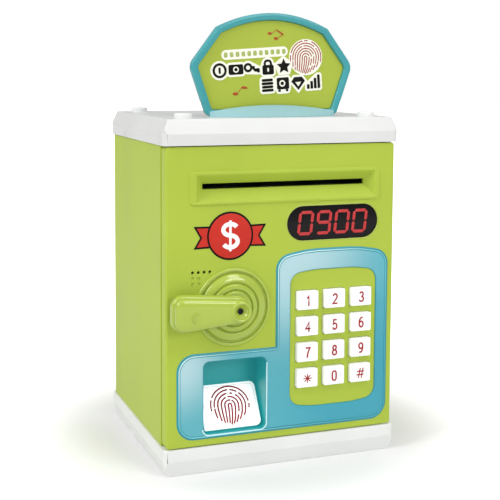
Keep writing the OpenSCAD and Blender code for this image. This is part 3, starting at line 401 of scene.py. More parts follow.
def relief(mesh, shapes, material=0, edge_material=None):
    """A closed plate: each outline, and each hole's outline run backwards, rises in (inset, height) steps."""
    back, face = [], []
    if edge_material is None:
        edge_material = material
    for outline, steps in shapes:
        rings = [[mesh.verts.new((p.x, p.y, height)) for p in inset(outline, distance)]
                 for distance, height in steps]
        count = len(outline)
        for low, high in zip(rings, rings[1:]):
            for i in range(count):
                j = (i + 1) % count
                mesh.faces.new((low[i], low[j], high[j], high[i])).material_index = edge_material
        for group, loop in ((back, rings[0]), (face, rings[-1])):
            group += [mesh.edges.get((loop[i], loop[(i + 1) % count])) for i in range(count)]
    for group, way in ((back, -1), (face, 1)):
        made = bmesh.ops.triangle_fill(mesh, use_beauty=True, use_dissolve=False, edges=group,
                                       normal=(0, 0, way))
        for item in made["geom"]:
            if isinstance(item, bmesh.types.BMFace):
                item.material_index = material


def lathe(mesh, profile, u=0.0, v=0.0, sides=96, closed=True):
    """Turns a profile of (radius, height) round an axis that points at the viewer."""
    angles = [TAU * k / sides for k in range(sides)]
    rings = []
    for radius, height in profile:
        if radius < 1e-6:
            rings.append([mesh.verts.new((u, v, height))])
        else:
            rings.append([mesh.verts.new((u + radius * math.cos(angle), v + radius * math.sin(angle), height))
                          for angle in angles])
    pairs = list(zip(rings, rings[1:]))
    if closed:
        pairs.append((rings[-1], rings[0]))
    for low, high in pairs:
        for i in range(sides):
            j = (i + 1) % sides
            if len(low) > 1 and len(high) > 1:
                corners = (low[i], low[j], high[j], high[i])
            elif len(low) > 1:
                corners = (low[i], low[j], high[0])
            elif len(high) > 1:
                corners = (low[0], high[j], high[i])
            else:
                continue
            mesh.faces.new(corners)


def edge_round(low, high, r, foot=0.0, steps=5):
    """Steps of an upright side that ends in a quarter round of radius r."""
    return [(foot, low), (foot, high - r)] + [
        (foot + r * (1 - math.cos(k * TAU / 4 / steps)), high - r + r * math.sin(k * TAU / 4 / steps))
        for k in range(1, steps + 1)]


def arc(u, v, a, b, first, last, steps=14):
    """Points on an oval arc, from one angle to another in degrees."""
    return [(u + a * math.cos(math.radians(first + (last - first) * k / steps)),
             v + b * math.sin(math.radians(first + (last - first) * k / steps))) for k in range(steps + 1)]


HOOK = arc(0.0, -0.2, 0.24, 0.3, 20, 380, 28)[:-1]
TAIL = arc(0.07, -0.05, 0.31, 0.55, 196, 68, 12)
# The centre lines of plain figures one unit tall: (closed, points).
STROKES = {
    "0": [(True, arc(0, 0.22, 0.24, 0.28, 180, 0) + arc(0, -0.22, 0.24, 0.28, 0, -180)[1:])],
    "1": [(False, [(-0.17, 0.26), (-0.02, 0.34), (0.07, 0.5), (0.07, -0.54)])],
    "2": [(False, arc(0, 0.24, 0.24, 0.26, 172, -38) + [(-0.26, -0.5), (0.29, -0.5)])],
    "3": [(False, arc(-0.01, 0.26, 0.21, 0.24, 160, -88)), (False, arc(-0.02, -0.24, 0.26, 0.26, 92, -162))],
    "4": [(False, [(0.11, -0.54), (0.11, 0.46), (-0.28, -0.2), (0.3, -0.2)])],
    "5": [(False, [(0.22, 0.5), (-0.14, 0.5), (-0.2, 0.02)] + arc(-0.01, -0.18, 0.25, 0.32, 125, -158))],
    "6": [(True, HOOK), (False, TAIL)],
    "7": [(False, [(-0.27, 0.5), (0.26, 0.5), (0.02, 0.0), (-0.08, -0.54)])],
    "8": [(True, arc(0, 0.26, 0.2, 0.24, 90, 450, 24)[:-1]),
          (True, arc(0, -0.24, 0.25, 0.26, 90, 450, 24)[:-1])],
    "9": [(True, [(-a, -b) for a, b in HOOK]), (False, [(-a, -b) for a, b in TAIL])],
    "#": [(False, [(-0.2, -0.5), (-0.02, 0.5)]), (False, [(0.08, -0.5), (0.26, 0.5)]),
          (False, [(-0.33, 0.17), (0.36, 0.17)]), (False, [(-0.38, -0.17), (0.31, -0.17)])],
    "*": [(False, [(-0.38 * math.cos(k * TAU / 8), -0.38 * math.sin(k * TAU / 8)),
                   (0.38 * math.cos(k * TAU / 8), 0.38 * math.sin(k * TAU / 8))]) for k in range(4)],
    "$": [(False, arc(0, 0.22, 0.3, 0.2, 28, 262, 20) + arc(0, -0.2, 0.31, 0.21, 82, -152, 20)),
          (False, [(0, -0.62), (0, 0.62)])],
}


def ribbon(mesh, path, width, low, high, closed, material):
    """A flat band of even width along a centre line, as a closed strip."""
    count = len(path)
    points = [Vector(p) for p in path]
    ribs = []
    for i, p in enumerate(points):
        before = points[i - 1] if closed or i else p
        after = points[(i + 1) % count] if closed or i < count - 1 else p
        a, b = (p - before), (after - p)
        a = a.normalized() if a.length else b.normalized()
        b = b.normalized() if b.length else a
        left = Vector((-(a.y + b.y), a.x + b.x)).normalized()
        side = left * (width / 2 / max(0.55, left.dot(Vector((-a.y, a.x)))))
        ribs.append([mesh.verts.new((q.x, q.y, w)) for q, w in
                     ((p - side, low), (p + side, low), (p + side, high), (p - side, high))])
    for k in range(count if closed else count - 1):
        a, b = ribs[k], ribs[(k + 1) % count]
        for i in range(4):
            j = (i + 1) % 4
            mesh.faces.new((a[i], a[j], b[j], b[i])).material_index = material
    if not closed:
        for rib in (ribs[0], ribs[-1][::-1]):
            mesh.faces.new(rib).material_index = material


def figure(mesh, sign, u, v, height, weight, low, material, narrow=1.0):
    """A printed figure built from bands, centred at (u, v)."""
    for k, (closed, path) in enumerate(STROKES[sign]):
        ribbon(mesh, [(u + a * height * narrow, v + b * height) for a, b in path], weight, low,
               low + 0.06 + 0.006 * k, closed, material)


def settle(name, data, body, replaces=()):
    """Puts a finished mesh in the scene and on its body."""
    piece = bpy.data.objects.new(name, data)
    bpy.context.scene.collection.objects.link(piece)
    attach(piece, body)
    if replaces:
        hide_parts(*replaces)
    return piece


def solid_of(mesh, place, materials, name, sharp=40.0):
    """Finishes a working mesh: doubles merged, faces outwards, placed, smooth between sharp edges."""
    bmesh.ops.remove_doubles(mesh, verts=mesh.verts, dist=1e-5)
    bmesh.ops.recalc_face_normals(mesh, faces=mesh.faces)
    mesh.transform(TO_METRES @ place)
    data = bpy.data.meshes.new(name)
    mesh.to_mesh(data)
    mesh.free()
    for material in materials:
        data.materials.append(plastic[material])
    data.shade_smooth()
    data.set_sharp_from_angle(angle=math.radians(sharp))
    return data


# ---- Geometry Nodes ----

class Branch:
    """A Geometry Nodes tree with named inputs, which ends in Realize Instances and Set Material."""

    def __init__(self, name, sizes):
        self.tree = bpy.data.node_groups.new(name, "GeometryNodeTree")
        self.sockets = {}
        self._socket("Geometry", "INPUT", "Geometry")
        for label, (kind, value) in sizes.items():
            socket = self._socket(label, "INPUT", kind)
            if value is not None:
                socket.default_value = value
        self._socket("Material", "INPUT", "Material")
        self._socket("Geometry", "OUTPUT", "Geometry")
        self.source = self.tree.nodes.new("NodeGroupInput")

    def _socket(self, label, way, kind):
        socket = self.tree.interface.new_socket(label, in_out=way, socket_type="NodeSocket" + kind)
        if way == "INPUT":
            self.sockets[label] = socket.identifier
        return socket

    def input(self, label):
        return self.source.outputs[label]

    def add(self, kind, settings=None, inputs=None, output=0):
        node = self.tree.nodes.new(kind)
        for key, value in (settings or {}).items():
            setattr(node, key, value)
        for key, value in (inputs or {}).items():
            if isinstance(value, bpy.types.NodeSocket):
                self.tree.links.new(value, node.inputs[key])
            else:
                node.inputs[key].default_value = value
        return node.outputs[output]

    def close(self, geometry):
        real = self.add("GeometryNodeRealizeInstances", None, {"Geometry": geometry})
        coloured = self.add("GeometryNodeSetMaterial", None,
                            {"Geometry": real, "Material": self.input("Material")})
        sink = self.tree.nodes.new("NodeGroupOutput")
        self.tree.links.new(coloured, sink.inputs["Geometry"])
        return self

    def grow(self, carrier, **values):
        """Runs the tree on an object and returns the result as a plain mesh."""
        modifier = carrier.modifiers.new("grow", "NODES")
        modifier.node_group = self.tree
        for label, value in values.items():
            modifier[self.sockets[label.replace("_", " ")]] = value
        bpy.context.view_layer.update()
        mesh = bpy.data.meshes.new_from_object(carrier.evaluated_get(bpy.context.evaluated_depsgraph_get()))
        carrier.modifiers.remove(modifier)
        bpy.data.objects.remove(carrier)
        return mesh


def bead_tree():
    """A round bead along every path of a curve."""
    b = Branch("bead", {"Radius": ("Float", 0.0005), "Sides": ("Int", 8)})
    profile = b.add("GeometryNodeCurvePrimitiveCircle", {"mode": "RADIUS"},
                    {"Resolution": b.input("Sides"), "Radius": b.input("Radius")})
    bead = b.add("GeometryNodeCurveToMesh", None,
                 {"Curve": b.input("Geometry"), "Profile Curve": profile, "Fill Caps": True})
    return b.close(b.add("GeometryNodeSetShadeSmooth", None, {"Geometry": bead}))


def row_tree():
    """Copies of a shape in a straight row."""
    b = Branch("row", {"Shape": ("Object", None), "Count": ("Int", 5), "Start": ("Vector", None),
                       "Step": ("Vector", None)})
    line = b.add("GeometryNodeMeshLine", {"mode": "OFFSET"},
                 {"Count": b.input("Count"), "Start Location": b.input("Start"), "Offset": b.input("Step")})
    shape = b.add("GeometryNodeObjectInfo", None, {"Object": b.input("Shape")}, "Geometry")
    return b.close(b.add("GeometryNodeInstanceOnPoints", None, {"Points": line, "Instance": shape}))


def fixing_tree():
    """A screw on every point, turned at random about its own axis."""
    b = Branch("fixings", {"Screw": ("Object", None), "Aim": ("Vector", None), "Seed": ("Int", 1)})
    screw = b.add("GeometryNodeObjectInfo", None, {"Object": b.input("Screw")}, "Geometry")
    set_in = b.add("GeometryNodeInstanceOnPoints", None,
                   {"Points": b.input("Geometry"), "Instance": screw, "Rotation": b.input("Aim")})
    spin = b.add("FunctionNodeRandomValue", {"data_type": "FLOAT_VECTOR"},
                 {"Min": (0, 0, 0), "Max": (0, 0, TAU), "Seed": b.input("Seed")})
    return b.close(b.add("GeometryNodeRotateInstances", None, {"Instances": set_in, "Rotation": spin}))


beads, rows, fixings = bead_tree(), row_tree(), fixing_tree()


def bead(name, paths, place, radius, material, body, slot, closed=False, replaces=()):
    """Beads along flat paths of (u, v, w) points."""
    data = bpy.data.curves.new(name, "CURVE")
    data.dimensions = "3D"
    for path in paths:
        spline = data.splines.new("POLY")
        spline.points.add(len(path) - 1)
        spline.use_cyclic_u = closed
        for point, p in zip(spline.points, path):
            point.co = (*(TO_METRES @ place @ Vector(p)), 1)
    carrier = bpy.data.objects.new(name + "_paths", data)
    bpy.context.scene.collection.objects.link(carrier)
    mesh = beads.grow(carrier, Radius=radius * MM, Sides=8, Material=plastic[material])
    mesh.name = name
    return settle(name, mesh, body, replaces)


# ---- CAD parts that stay: their edges are rounded ----

def soften(node, width, angle, segments=3):
    """Rounds a CAD part's edges: welds its triangles, clears the flats and bevels what is left."""
    part = NODES[node]
    weld = part.modifiers.new("weld", "WELD")
    weld.merge_threshold = 0.004 * MM
    flats = part.modifiers.new("flats", "DECIMATE")
    flats.decimate_type = "DISSOLVE"
    flats.angle_limit = math.radians(1.0)
    edge = part.modifiers.new("edge", "BEVEL")
    edge.width = width * MM
    edge.segments = segments
    edge.limit_method = "ANGLE"
    edge.angle_limit = math.radians(angle)
    edge.use_clamp_overlap = False
    edge.harden_normals = False
    even = part.modifiers.new("even", "WEIGHTED_NORMAL")
    even.keep_sharp = False


for node, width, least_angle in (("lid", 0.2, 16.5), ("base", 0.2, 16.5), ("cabinet_shell", 0.5, 32.0),
                                 ("door_front", 0.35, 32.0), ("door_housing", 0.3, 32.0),
                                 ("battery_cover", 0.3, 32.0)):
    soften(node, width, least_angle)


# ---- Where things are, from the CAD parts ----

def middle(node):
    low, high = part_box(node)
    return (low + high) / (2 * MM)


def span(node):
    low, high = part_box(node)
    return low / MM, high / MM


door_face = 55.0  # how far the flat front of the door stands before the origin
lever_at = middle("lever_dial")
lever_u, lever_v = lever_at.x, lever_at.z
lever_tip = -span("lever_front")[0].y
lever_split = -span("lever_back")[0].y
lever_foot = -span("lever_back")[1].y


# ---- Bezel round the keypad and the fingerprint well ----

keys_u, keys_v = 28.65, 66.8
well_u, well_v, well_w, well_h, well_r = -27.25, 39.8, 34.5, 38.4, 3.0
bezel_top = -span("keypad_bezel")[0].y


def island():
    """The window that the keys stand in, with a shallow bow above and below."""
    a = 25.0
    low, high = keys_v - 35.0, keys_v + 35.0
    return rounded([(keys_u - a, low, 6.5), (keys_u - a / 2, low - 2, 60), (keys_u + a / 2, low - 2, 60),
                    (keys_u + a, low, 6.5), (keys_u + a, high, 6.5), (keys_u + a / 2, high + 2, 60),
                    (keys_u - a / 2, high + 2, 60), (keys_u - a, high, 6.5)])


def make_bezel():
    left, right, foot, step, low_top, high_top = -59.0, 61.0, 18.5, -4.55, 63.8, 111.5
    quarter = (right - step) / 4
    outer = rounded([(left, foot, 9.5), (right, foot, 9.5), (right, high_top, 8.6),
                     (right - quarter, high_top + 3.6, 70), (step + quarter, high_top + 3.6, 70),
                     (step, high_top, 8.6), (step, low_top, 0.3), (left, low_top, 9.5)])
    mesh = bmesh.new()
    face = bezel_top - 0.3
    rim = [(0.0, door_face - 0.05), (0.0, door_face + 0.1), (0.5, face - 0.18), (1.2, face), (2.0, face)]
    window = [(0.0, door_face - 0.05), (0.0, face - 0.3), (0.12, face - 0.1), (0.4, face)]
    mouth = [(0.0, door_face - 0.05), (0.0, face - 0.35), (0.15, face - 0.1), (0.5, face)]
    well = box(well_u, well_v, well_w, well_h, well_r)
    # The border and the walls of the openings take the darker teal: painted shade.
    relief(mesh, [(outer, rim), (island()[::-1], window), (well[::-1], mouth)], 0, 1)
    settle("bezel", solid_of(mesh, FRONT, ["teal_face", "shaded_teal_rim"], "bezel", 32.0), "door",
           ["keypad_bezel"])
    # The ridge bead is pale teal: a painted highlight line along the bezel's edge.
    bead("bezel_ridge", [level(inset(outer, 1.3), bezel_top - 0.28)], FRONT, 0.3, "teal_highlight_line", "door",
         "teal_plastic", closed=True)


def make_well():
    """The pocket behind the touch pad, and a pale, glowing bead along the lower right of its mouth: a painted
    highlight.
    """
    back = door_face - 16.5
    inner = box(well_u, well_v, well_w, well_h, well_r)
    outer = box(well_u, well_v, well_w + 2, well_h + 2, well_r + 1)
    mesh = bmesh.new()
    wall = [(0, back), (0, door_face - 0.1)]
    relief(mesh, [(outer, wall), (inner[::-1], wall)])
    relief(mesh, [(outer, [(0, back - 1.2), (0, back)])])
    settle("well_pocket", solid_of(mesh, FRONT, ["teal_deep"], "well_pocket"), "door")

    def bearing(p):
        return math.atan2(p.y - well_v, p.x - well_u)
    around = sorted(inset(inner, -0.42), key=bearing)
    lower_right = [p for p in around if -2.45 < bearing(p) < 0.75]
    # The bead's pale, glowing colour is a painted highlight.
    bead("well_rim", [level(lower_right, bezel_top - 0.3)], FRONT, 0.34, "painted_highlight_teal", "door", "teal_plastic")


# ---- Keys ----

KEYS = {"key_1": "1", "key_2": "2", "key_3": "3", "key_4": "4", "key_5": "5", "key_6": "6", "key_7": "7",
        "key_8": "8", "key_9": "9", "key_star": "*", "key_0": "0", "key_hash": "#"}
LEGEND_SIZE = {"*": (6.4, 0.55, 1.0), "#": (5.4, 0.66, 1.1)}  # height, line width, width factor


def make_key(node, legend):
    low, high = span(node)
    u, v = middle(node).x, middle(node).z
    top, flange = -low.y, door_face - 2.25
    wide, tall = high.x - low.x - 1.8, high.z - low.z - 1.8
    mesh = bmesh.new()
    relief(mesh, [(box(u, v, wide, tall, 0.8), edge_round(flange - 0.1, top, 0.5))])
    relief(mesh, [(box(u, v, wide + 1.8, tall + 1.8, 1.0), [(0, flange - 1.0), (0, flange)])])
    height, weight, narrow = LEGEND_SIZE.get(legend, (5.1, 0.86, 0.92))
    figure(mesh, legend, u, v - 0.1, height, weight, top - 0.02, 1, narrow)
    settle(node + "_cap", solid_of(mesh, FRONT, ["key", "legend"], node), node + "_body", [node])


# ---- Touch pad with its printed fingerprint ----

PAD_SLOPE = math.radians(-32)
PAD = Matrix.Translation((well_u, -47.5, 32.5)) @ Matrix.Rotation(PAD_SLOPE, 4, "X") @ FRONT


def ridges(radius, pitch, seed, height, flow=0.02, squeeze=1.0):
    """Nested arches with broken lines, cut to a round outline: paths of (u, v, w)."""
    draw = random.Random(seed)
    paths = []
    for k in range(round(radius / pitch)):
        r = pitch * (k + 0.45)
        leg = math.sqrt(max(0.04, radius ** 2 - r ** 2))
        legs = [leg * step / 12 for step in range(13)]
        line = [(-r, -b) for b in legs[:0:-1]] + arc(0, 0, r, r, 180, 0, 26) + [(r, -b) for b in legs[1:]]
        line = [(a * (1 - 0.0035 * min(0.0, b) ** 2) - flow * min(0.0, b) ** 2, b) for a, b in line]
        line = [(a, b * squeeze, height) for a, b in line if math.hypot(a, b) <= radius]
        breaks = sorted(draw.uniform(0.06, 0.94) for _ in range(1 + k // 2))
        start = 0
        for place in breaks + [1.1]:
            end = min(len(line), int(place * len(line)))
            if end - start > 2:
                paths.append(line[start:end])
            start = end + (1 if k < 4 else 0)
    return paths


def make_pad():
    half, tall = 15.75, 11.9
    plate = rounded([(-half, tall, 0.8), (-half, -tall, 0.8), (half, -tall, 3.0), (half, tall, 3.0)], 20)
    mesh = bmesh.new()
    relief(mesh, [(plate, edge_round(-1.6, 0.0, 0.45))])
    lathe(mesh, [(0, -8.2), (1.8, -8.2), (1.8, -1.5), (0, -1.5)], sides=24, closed=False)
    settle("touch_plate", solid_of(mesh, PAD, ["pad"], "touch_plate"), "touch", ["touch_pad"])
    bead("touch_border", [level(box(0, 0, 29.0, 21.3, 2.3), -0.05)], PAD, 0.13, "line", "touch", "red_print",
         closed=True)
    bead("touch_print", ridges(10.9, 1.95, 11, -0.22, 0.01, 0.95), PAD, 0.52, "ridge", "touch", "red_print",
         replaces=["touch_label"])


# ---- Lever and dial ----

def lever_outline(grow):
    points = [(p.x, p.y) for p in ring(lever_u, lever_v, 7 + grow, 72)]
    for side in (-1, 1):
        points += [(p.x, p.y) for p in ring(lever_u - 29.5, lever_v + side * 3.5, 6 + grow, 64)]
    return hull(points)


def carve(data, cutter):
    """Cuts one closed mesh out of another."""
    body = bpy.data.objects.new("body", data)
    tool = bpy.data.objects.new("tool", cutter)
    for item in (body, tool):
        bpy.context.scene.collection.objects.link(item)
    cut = body.modifiers.new("cut", "BOOLEAN")
    cut.operation = "DIFFERENCE"
    cut.solver = "EXACT"
    cut.object = tool
    result = bpy.data.meshes.new_from_object(body.evaluated_get(bpy.context.evaluated_depsgraph_get()))
    for item in (body, tool):
        bpy.data.objects.remove(item)
    result.shade_smooth()
    result.set_sharp_from_angle(angle=math.radians(35))
    return result


def make_lever():
    cutter = bmesh.new()
    lathe(cutter, [(0, lever_foot - 1), (1.7, lever_foot - 1), (1.7, lever_tip - 2.5), (2.2, lever_tip - 2.1),
                   (4.2, lever_tip + 0.2), (0, lever_tip + 0.2)], lever_u, lever_v, 64, closed=False)
    hole = solid_of(cutter, FRONT, ["green_gloss"], "hole")

    mesh = bmesh.new()
    crown = [(0.0, 0.1), (0.0, 1.7), (0.12, 2.3), (0.45, 2.8), (0.95, 3.15), (1.6, 3.38), (2.5, 3.55),
             (3.6, 3.66), (4.9, 3.7)]
    relief(mesh, [(lever_outline(-1.1), [(distance, lever_split + rise) for distance, rise in crown])])
    front = carve(solid_of(mesh, FRONT, ["green_gloss"], "lever_front_shell"), hole.copy())
    front.name = "lever_front_shell"
    settle("lever_front_shell", front, "lever", ["lever_front"])

    mesh = bmesh.new()
    shell = [(0.35, lever_foot), (0.0, lever_foot + 0.4), (0.0, lever_split - 1.7), (0.15, lever_split - 1.0),
             (0.55, lever_split - 0.45), (1.1, lever_split - 0.12), (1.6, lever_split)]
    relief(mesh, [(lever_outline(0.0), shell)])
    back = carve(solid_of(mesh, FRONT, ["green_gloss"], "lever_back_shell"), hole)
    back.name = "lever_back_shell"
    settle("lever_back_shell", back, "lever", ["lever_back"])

    mesh = bmesh.new()
    top = lever_tip
    lip = rounded([(3.6, top - 1.5, 0.05), (5.7, top - 1.5, 0.05), (5.4, top - 0.5, 0.4),
                   (4.7, top - 0.02, 0.5), (4.0, top - 0.3, 0.4)], 20)
    lathe(mesh, [(p.x, p.y) for p in lip], lever_u, lever_v, 72)
    settle("lever_hub_ring", solid_of(mesh, FRONT, ["green_gloss"], "lever_hub_ring", 60), "lever")

    mark = [(a, b, lever_tip - 0.36) for a, b in arc(lever_u - 23.6, lever_v - 1.2, 2.4, 2.4, 70, 250, 15)]
    bead("lever_grip_mark", [mark], FRONT, 0.34, "green_gloss", "lever", "green_plastic")


def make_dial():
    f = door_face
    mesh = bmesh.new()
    steps = rounded([(5.4, f, 0), (20.5, f, 0), (20.5, f + 0.9, 0.35), (20.0, f + 1.4, 0.45),
                     (18.9, f + 1.4, 0.35), (18.6, f + 0.1, 0.05), (18.1, f + 0.1, 0.05), (17.2, f + 1.5, 0.8),
                     (15.6, f + 2.5, 1.4), (13.4, f + 3.1, 0.7), (13.1, f + 1.9, 0.05), (12.8, f + 1.9, 0.05),
                     (12.0, f + 3.7, 0.5), (9.9, f + 3.9, 0.5), (9.5, f + 2.8, 0.05), (9.2, f + 2.8, 0.05),
                     (8.6, f + 4.4, 0.5), (5.4, f + 4.4, 0.3)], 18)
    lathe(mesh, [(p.x, p.y) for p in steps], lever_u, lever_v, 144)
    settle("dial", solid_of(mesh, FRONT, ["green_gloss"], "dial", 50), "door", ["lever_dial"])


# ---- Display ----

SEGMENTS = {"0": (0, 2, 3, 4, 5, 6), "9": (0, 1, 2, 4, 5, 6)}


def segment(s, u, v, wide=8.7, tall=12.9, bar=1.6, lean=0.11):
    """One bar of a seven-bar figure: 0 to 2 lie flat, from the bottom up, and the others stand."""
    h = (tall - bar) / 2
    flat = s < 3
    if flat:
        cu, cv = 0, (s - 1) * h
    else:
        cu, cv = (-1 if s % 2 else 1) * (wide - bar) / 2, (-1 if s < 5 else 1) * h / 2
    reach = ((wide - bar if flat else h) - 0.3) / 2
    b = bar / 2
    shape = [(-reach, 0), (-reach + b, -b), (reach - b, -b), (reach, 0), (reach - b, b), (-reach + b, b)]
    points = [p + Vector((cu, cv)) for p in turned(shape, 0, 0, 0 if flat else 90)]
    return [Vector((u + p.x + lean * p.y, v + p.y)) for p in points]


def make_display():
    u, v = 28.0, 128.75
    top = door_face - 0.5
    mesh = bmesh.new()
    relief(mesh, [(box(u, v, 53.0, 18.5, 9.2, 5.0), edge_round(top - 1.8, top, 0.35))])
    relief(mesh, [(box(u, v, 55.0, 20.5, 10.2, 5.0), [(0, top - 2.2), (0, top - 1.8)])])
    settle("display_window", solid_of(mesh, FRONT, ["lens"], "display_window"), "door",
           ["display_lens"])
    bead("display_rim", [level(box(u, v, 53.5, 19.0, 9.45, 5.0), door_face - 0.12)], FRONT, 0.34, "green_gloss",
         "door", "green_plastic", closed=True)
    mesh = bmesh.new()
    for place, digit in enumerate("0900"):
        for s in range(7):
            if s in SEGMENTS[digit]:
                relief(mesh, [(segment(s, u + 0.1 + (place - 1.5) * 10.5, v),
                               [(0, top - 0.05), (0, top + 0.1), (0.08, top + 0.13)])])
    settle("display_figures", solid_of(mesh, FRONT, ["glow"], "display_figures"), "door",
           ["display_digits"])


# ---- Badge ----

def make_badge():
    u, v, r = -30.1, 124.2, 12.6
    f = door_face
    mesh = bmesh.new()
    tail = [(8, 5.3), (8, -5.8), (19.8, -6.2), (16.3, -0.4), (19.8, 5.5)]
    for side in (-1, 1):
        shape = [Vector((u + side * a, v + b)) for a, b in tail]
        shape = shape[::-1] if side < 0 else shape
        relief(mesh, [(shape, [(0, f - 0.1), (0, f + 0.1)])], 1)
        relief(mesh, [(inset(shape, 0.95), [(0, f + 0.05), (0, f + 0.14)])], 0)
    relief(mesh, [(ring(u, v, r, 96), [(0, f - 0.1), (0, f + 0.14), (0.06, f + 0.18)])], 1)
    relief(mesh, [(ring(u, v, r - 1.0, 96), [(0, f + 0.1), (0, f + 0.2), (0.05, f + 0.22)])], 0)
    closed, curl = STROKES["$"][0]
    ribbon(mesh, [(u + a * 12.8, v + b * 14.6) for a, b in curl], 2.3, f + 0.19, f + 0.27, closed, 2)
    ribbon(mesh, [(u, v - 8.0), (u, v + 8.0)], 1.3, f + 0.19, f + 0.28, False, 2)
    settle("badge", solid_of(mesh, FRONT, ["red", "ink", "key"], "badge"), "door",
           ["badge_label"])


# ---- Sign ----

def make_sign():
    half, foot = 45.6, 184.5
    crest_half, crest_v, crest_rise = 31.7, 231.5, 7.9
    front, back = 38.0, 34.0
    panel = -span("sign_panel")[0].y
    points = bow(-crest_half, crest_half, crest_v, crest_rise)
    for side in (-1, 1):
        points += ring(side * (half - 7), foot + 26, 7, 48) + ring(side * (half - 11.2), foot + 4.5, 4, 48)
    points += [Vector((-33.6, foot)), Vector((33.6, foot))]
    outer = hull(points)
    inner = inset(outer, 3.8)
    mesh = bmesh.new()
    rim = edge_round(back + 0.8, front, 0.9)
    lip = [(0, back + 0.8), (0, front - 0.7), (0.12, front - 0.3), (0.5, front)]
    relief(mesh, [(outer, rim), (inner[::-1], lip)])
    plate = [(0.5, back), (0.0, back + 0.5), (0.0, back + 0.8)]
    relief(mesh, [(outer, plate)])
    settle("sign_rim", solid_of(mesh, FRONT, ["sign_teal"], "sign_rim"), "cabinet",
           ["sign_frame"])

    mesh = bmesh.new()
    relief(mesh, [(inset(inner, 0.1), [(0, back + 0.8), (0, panel - 0.15), (0.15, panel)])])
    settle("sign_board", solid_of(mesh, FRONT, ["sign_green"], "sign_board"), "cabinet",
           ["sign_panel"])

    foot_half, reach = 35.6, 10.0
    mesh = bmesh.new()
    columns = 40
    profile = [(0.0, 0.0), (0.0, 0.09), (0.06, 0.16), (0.3, 0.42), (0.6, 0.72), (0.82, 0.93), (0.93, 1.0),
               (1.05, 1.0)]
    rings = []
    for k in range(columns + 1):
        t = 2 * k / columns - 1
        depth = reach * (1 - t * t) + 0.15
        tall = 2.8 + 3.4 * (1 - t * t)
        u = foot_half * t
        rings.append([mesh.verts.new((u, -(front + depth * (1 - a)), foot + tall * b)) for a, b in profile]
                     + [mesh.verts.new((u, -(front - 0.6), foot))])
    for a, b in zip(rings, rings[1:]):
        for i in range(len(a)):
            j = (i + 1) % len(a)
            mesh.faces.new((a[i], a[j], b[j], b[i]))
    mesh.faces.new(rings[0])
    mesh.faces.new(rings[-1][::-1])
    # The foot's paler teal is painted light on its upward face.
    settle("sign_foot", solid_of(mesh, UP, ["teal_painted_lit"], "sign_foot"), "cabinet")
    make_sign_print(panel)


def icon_shapes():
    """Plain signs of saving, each a list of (outline, holes), about 8 mm tall."""
    def notch(points, holes=()):
        return ([Vector(p) for p in points], [[Vector(p) for p in h] for h in holes])
    star = [(4.3 * math.cos(TAU * k / 10 + TAU / 4) * (1 if k % 2 == 0 else 0.48),
             4.3 * math.sin(TAU * k / 10 + TAU / 4) * (1 if k % 2 == 0 else 0.48)) for k in range(10)]
    return {
        "coin": [(ring(0, 0, 4.0, 40), [ring(0, 0, 2.7, 36)]), (box(0, 0, 1.2, 3.4, 0.4), [])],
        "note": [(box(0, 0, 8.4, 5.4, 0.9), [ring(0, 0, 1.7, 28)]), (ring(0, 0, 0.9, 20), [])],
        "key": [(ring(-2.3, 0.6, 2.5, 32), [ring(-2.3, 0.6, 1.2, 24)]),
                notch([(-0.1, -0.1), (4.3, -0.1), (4.3, -2.3), (3.2, -2.3), (3.2, 0.0), (2.6, 0.0),
                       (2.6, -1.8), (1.6, -1.8), (1.6, 1.3), (-0.1, 1.3)])],
        "padlock": [(box(0, -1.3, 6.6, 5.2, 0.9), [box(0, -1.3, 1.1, 2.2, 0.5)]),
                    (rounded([(-2.4, 1.0, 0), (2.4, 1.0, 0), (2.4, 4.3, 2.2), (-2.4, 4.3, 2.2)]),
                     [rounded([(-1.2, 1.25, 0), (1.2, 1.25, 0), (1.2, 3.1, 1.1), (-1.2, 3.1, 1.1)])])],
        "star": [notch(star)],
        "coins": [(box(0, -2.9 + 1.9 * k, 7.0 - 0.3 * (k % 2), 1.5, 0.7), []) for k in range(4)],
        "safe": [(box(0, 0.4, 7.4, 6.6, 0.9), [ring(-0.4, 0.4, 1.9, 28)]), (ring(-0.4, 0.4, 1.0, 20), []),
                 (box(-2.3, -3.6, 1.5, 1.2, 0.3), []), (box(2.3, -3.6, 1.5, 1.2, 0.3), [])],
        "gem": [notch([(0, -4.0), (4.2, 1.0), (2.3, 3.4), (-2.3, 3.4), (-4.2, 1.0)],
                      [[(0, -2.0), (-1.9, 0.6), (1.9, 0.6)][::-1]])],
        "bars": [(box(-3.3 + 2.2 * k, -3.8 + (2.6 + 1.7 * k) / 2, 1.6, 2.6 + 1.7 * k, 0.3), [])
                 for k in range(4)],
    }


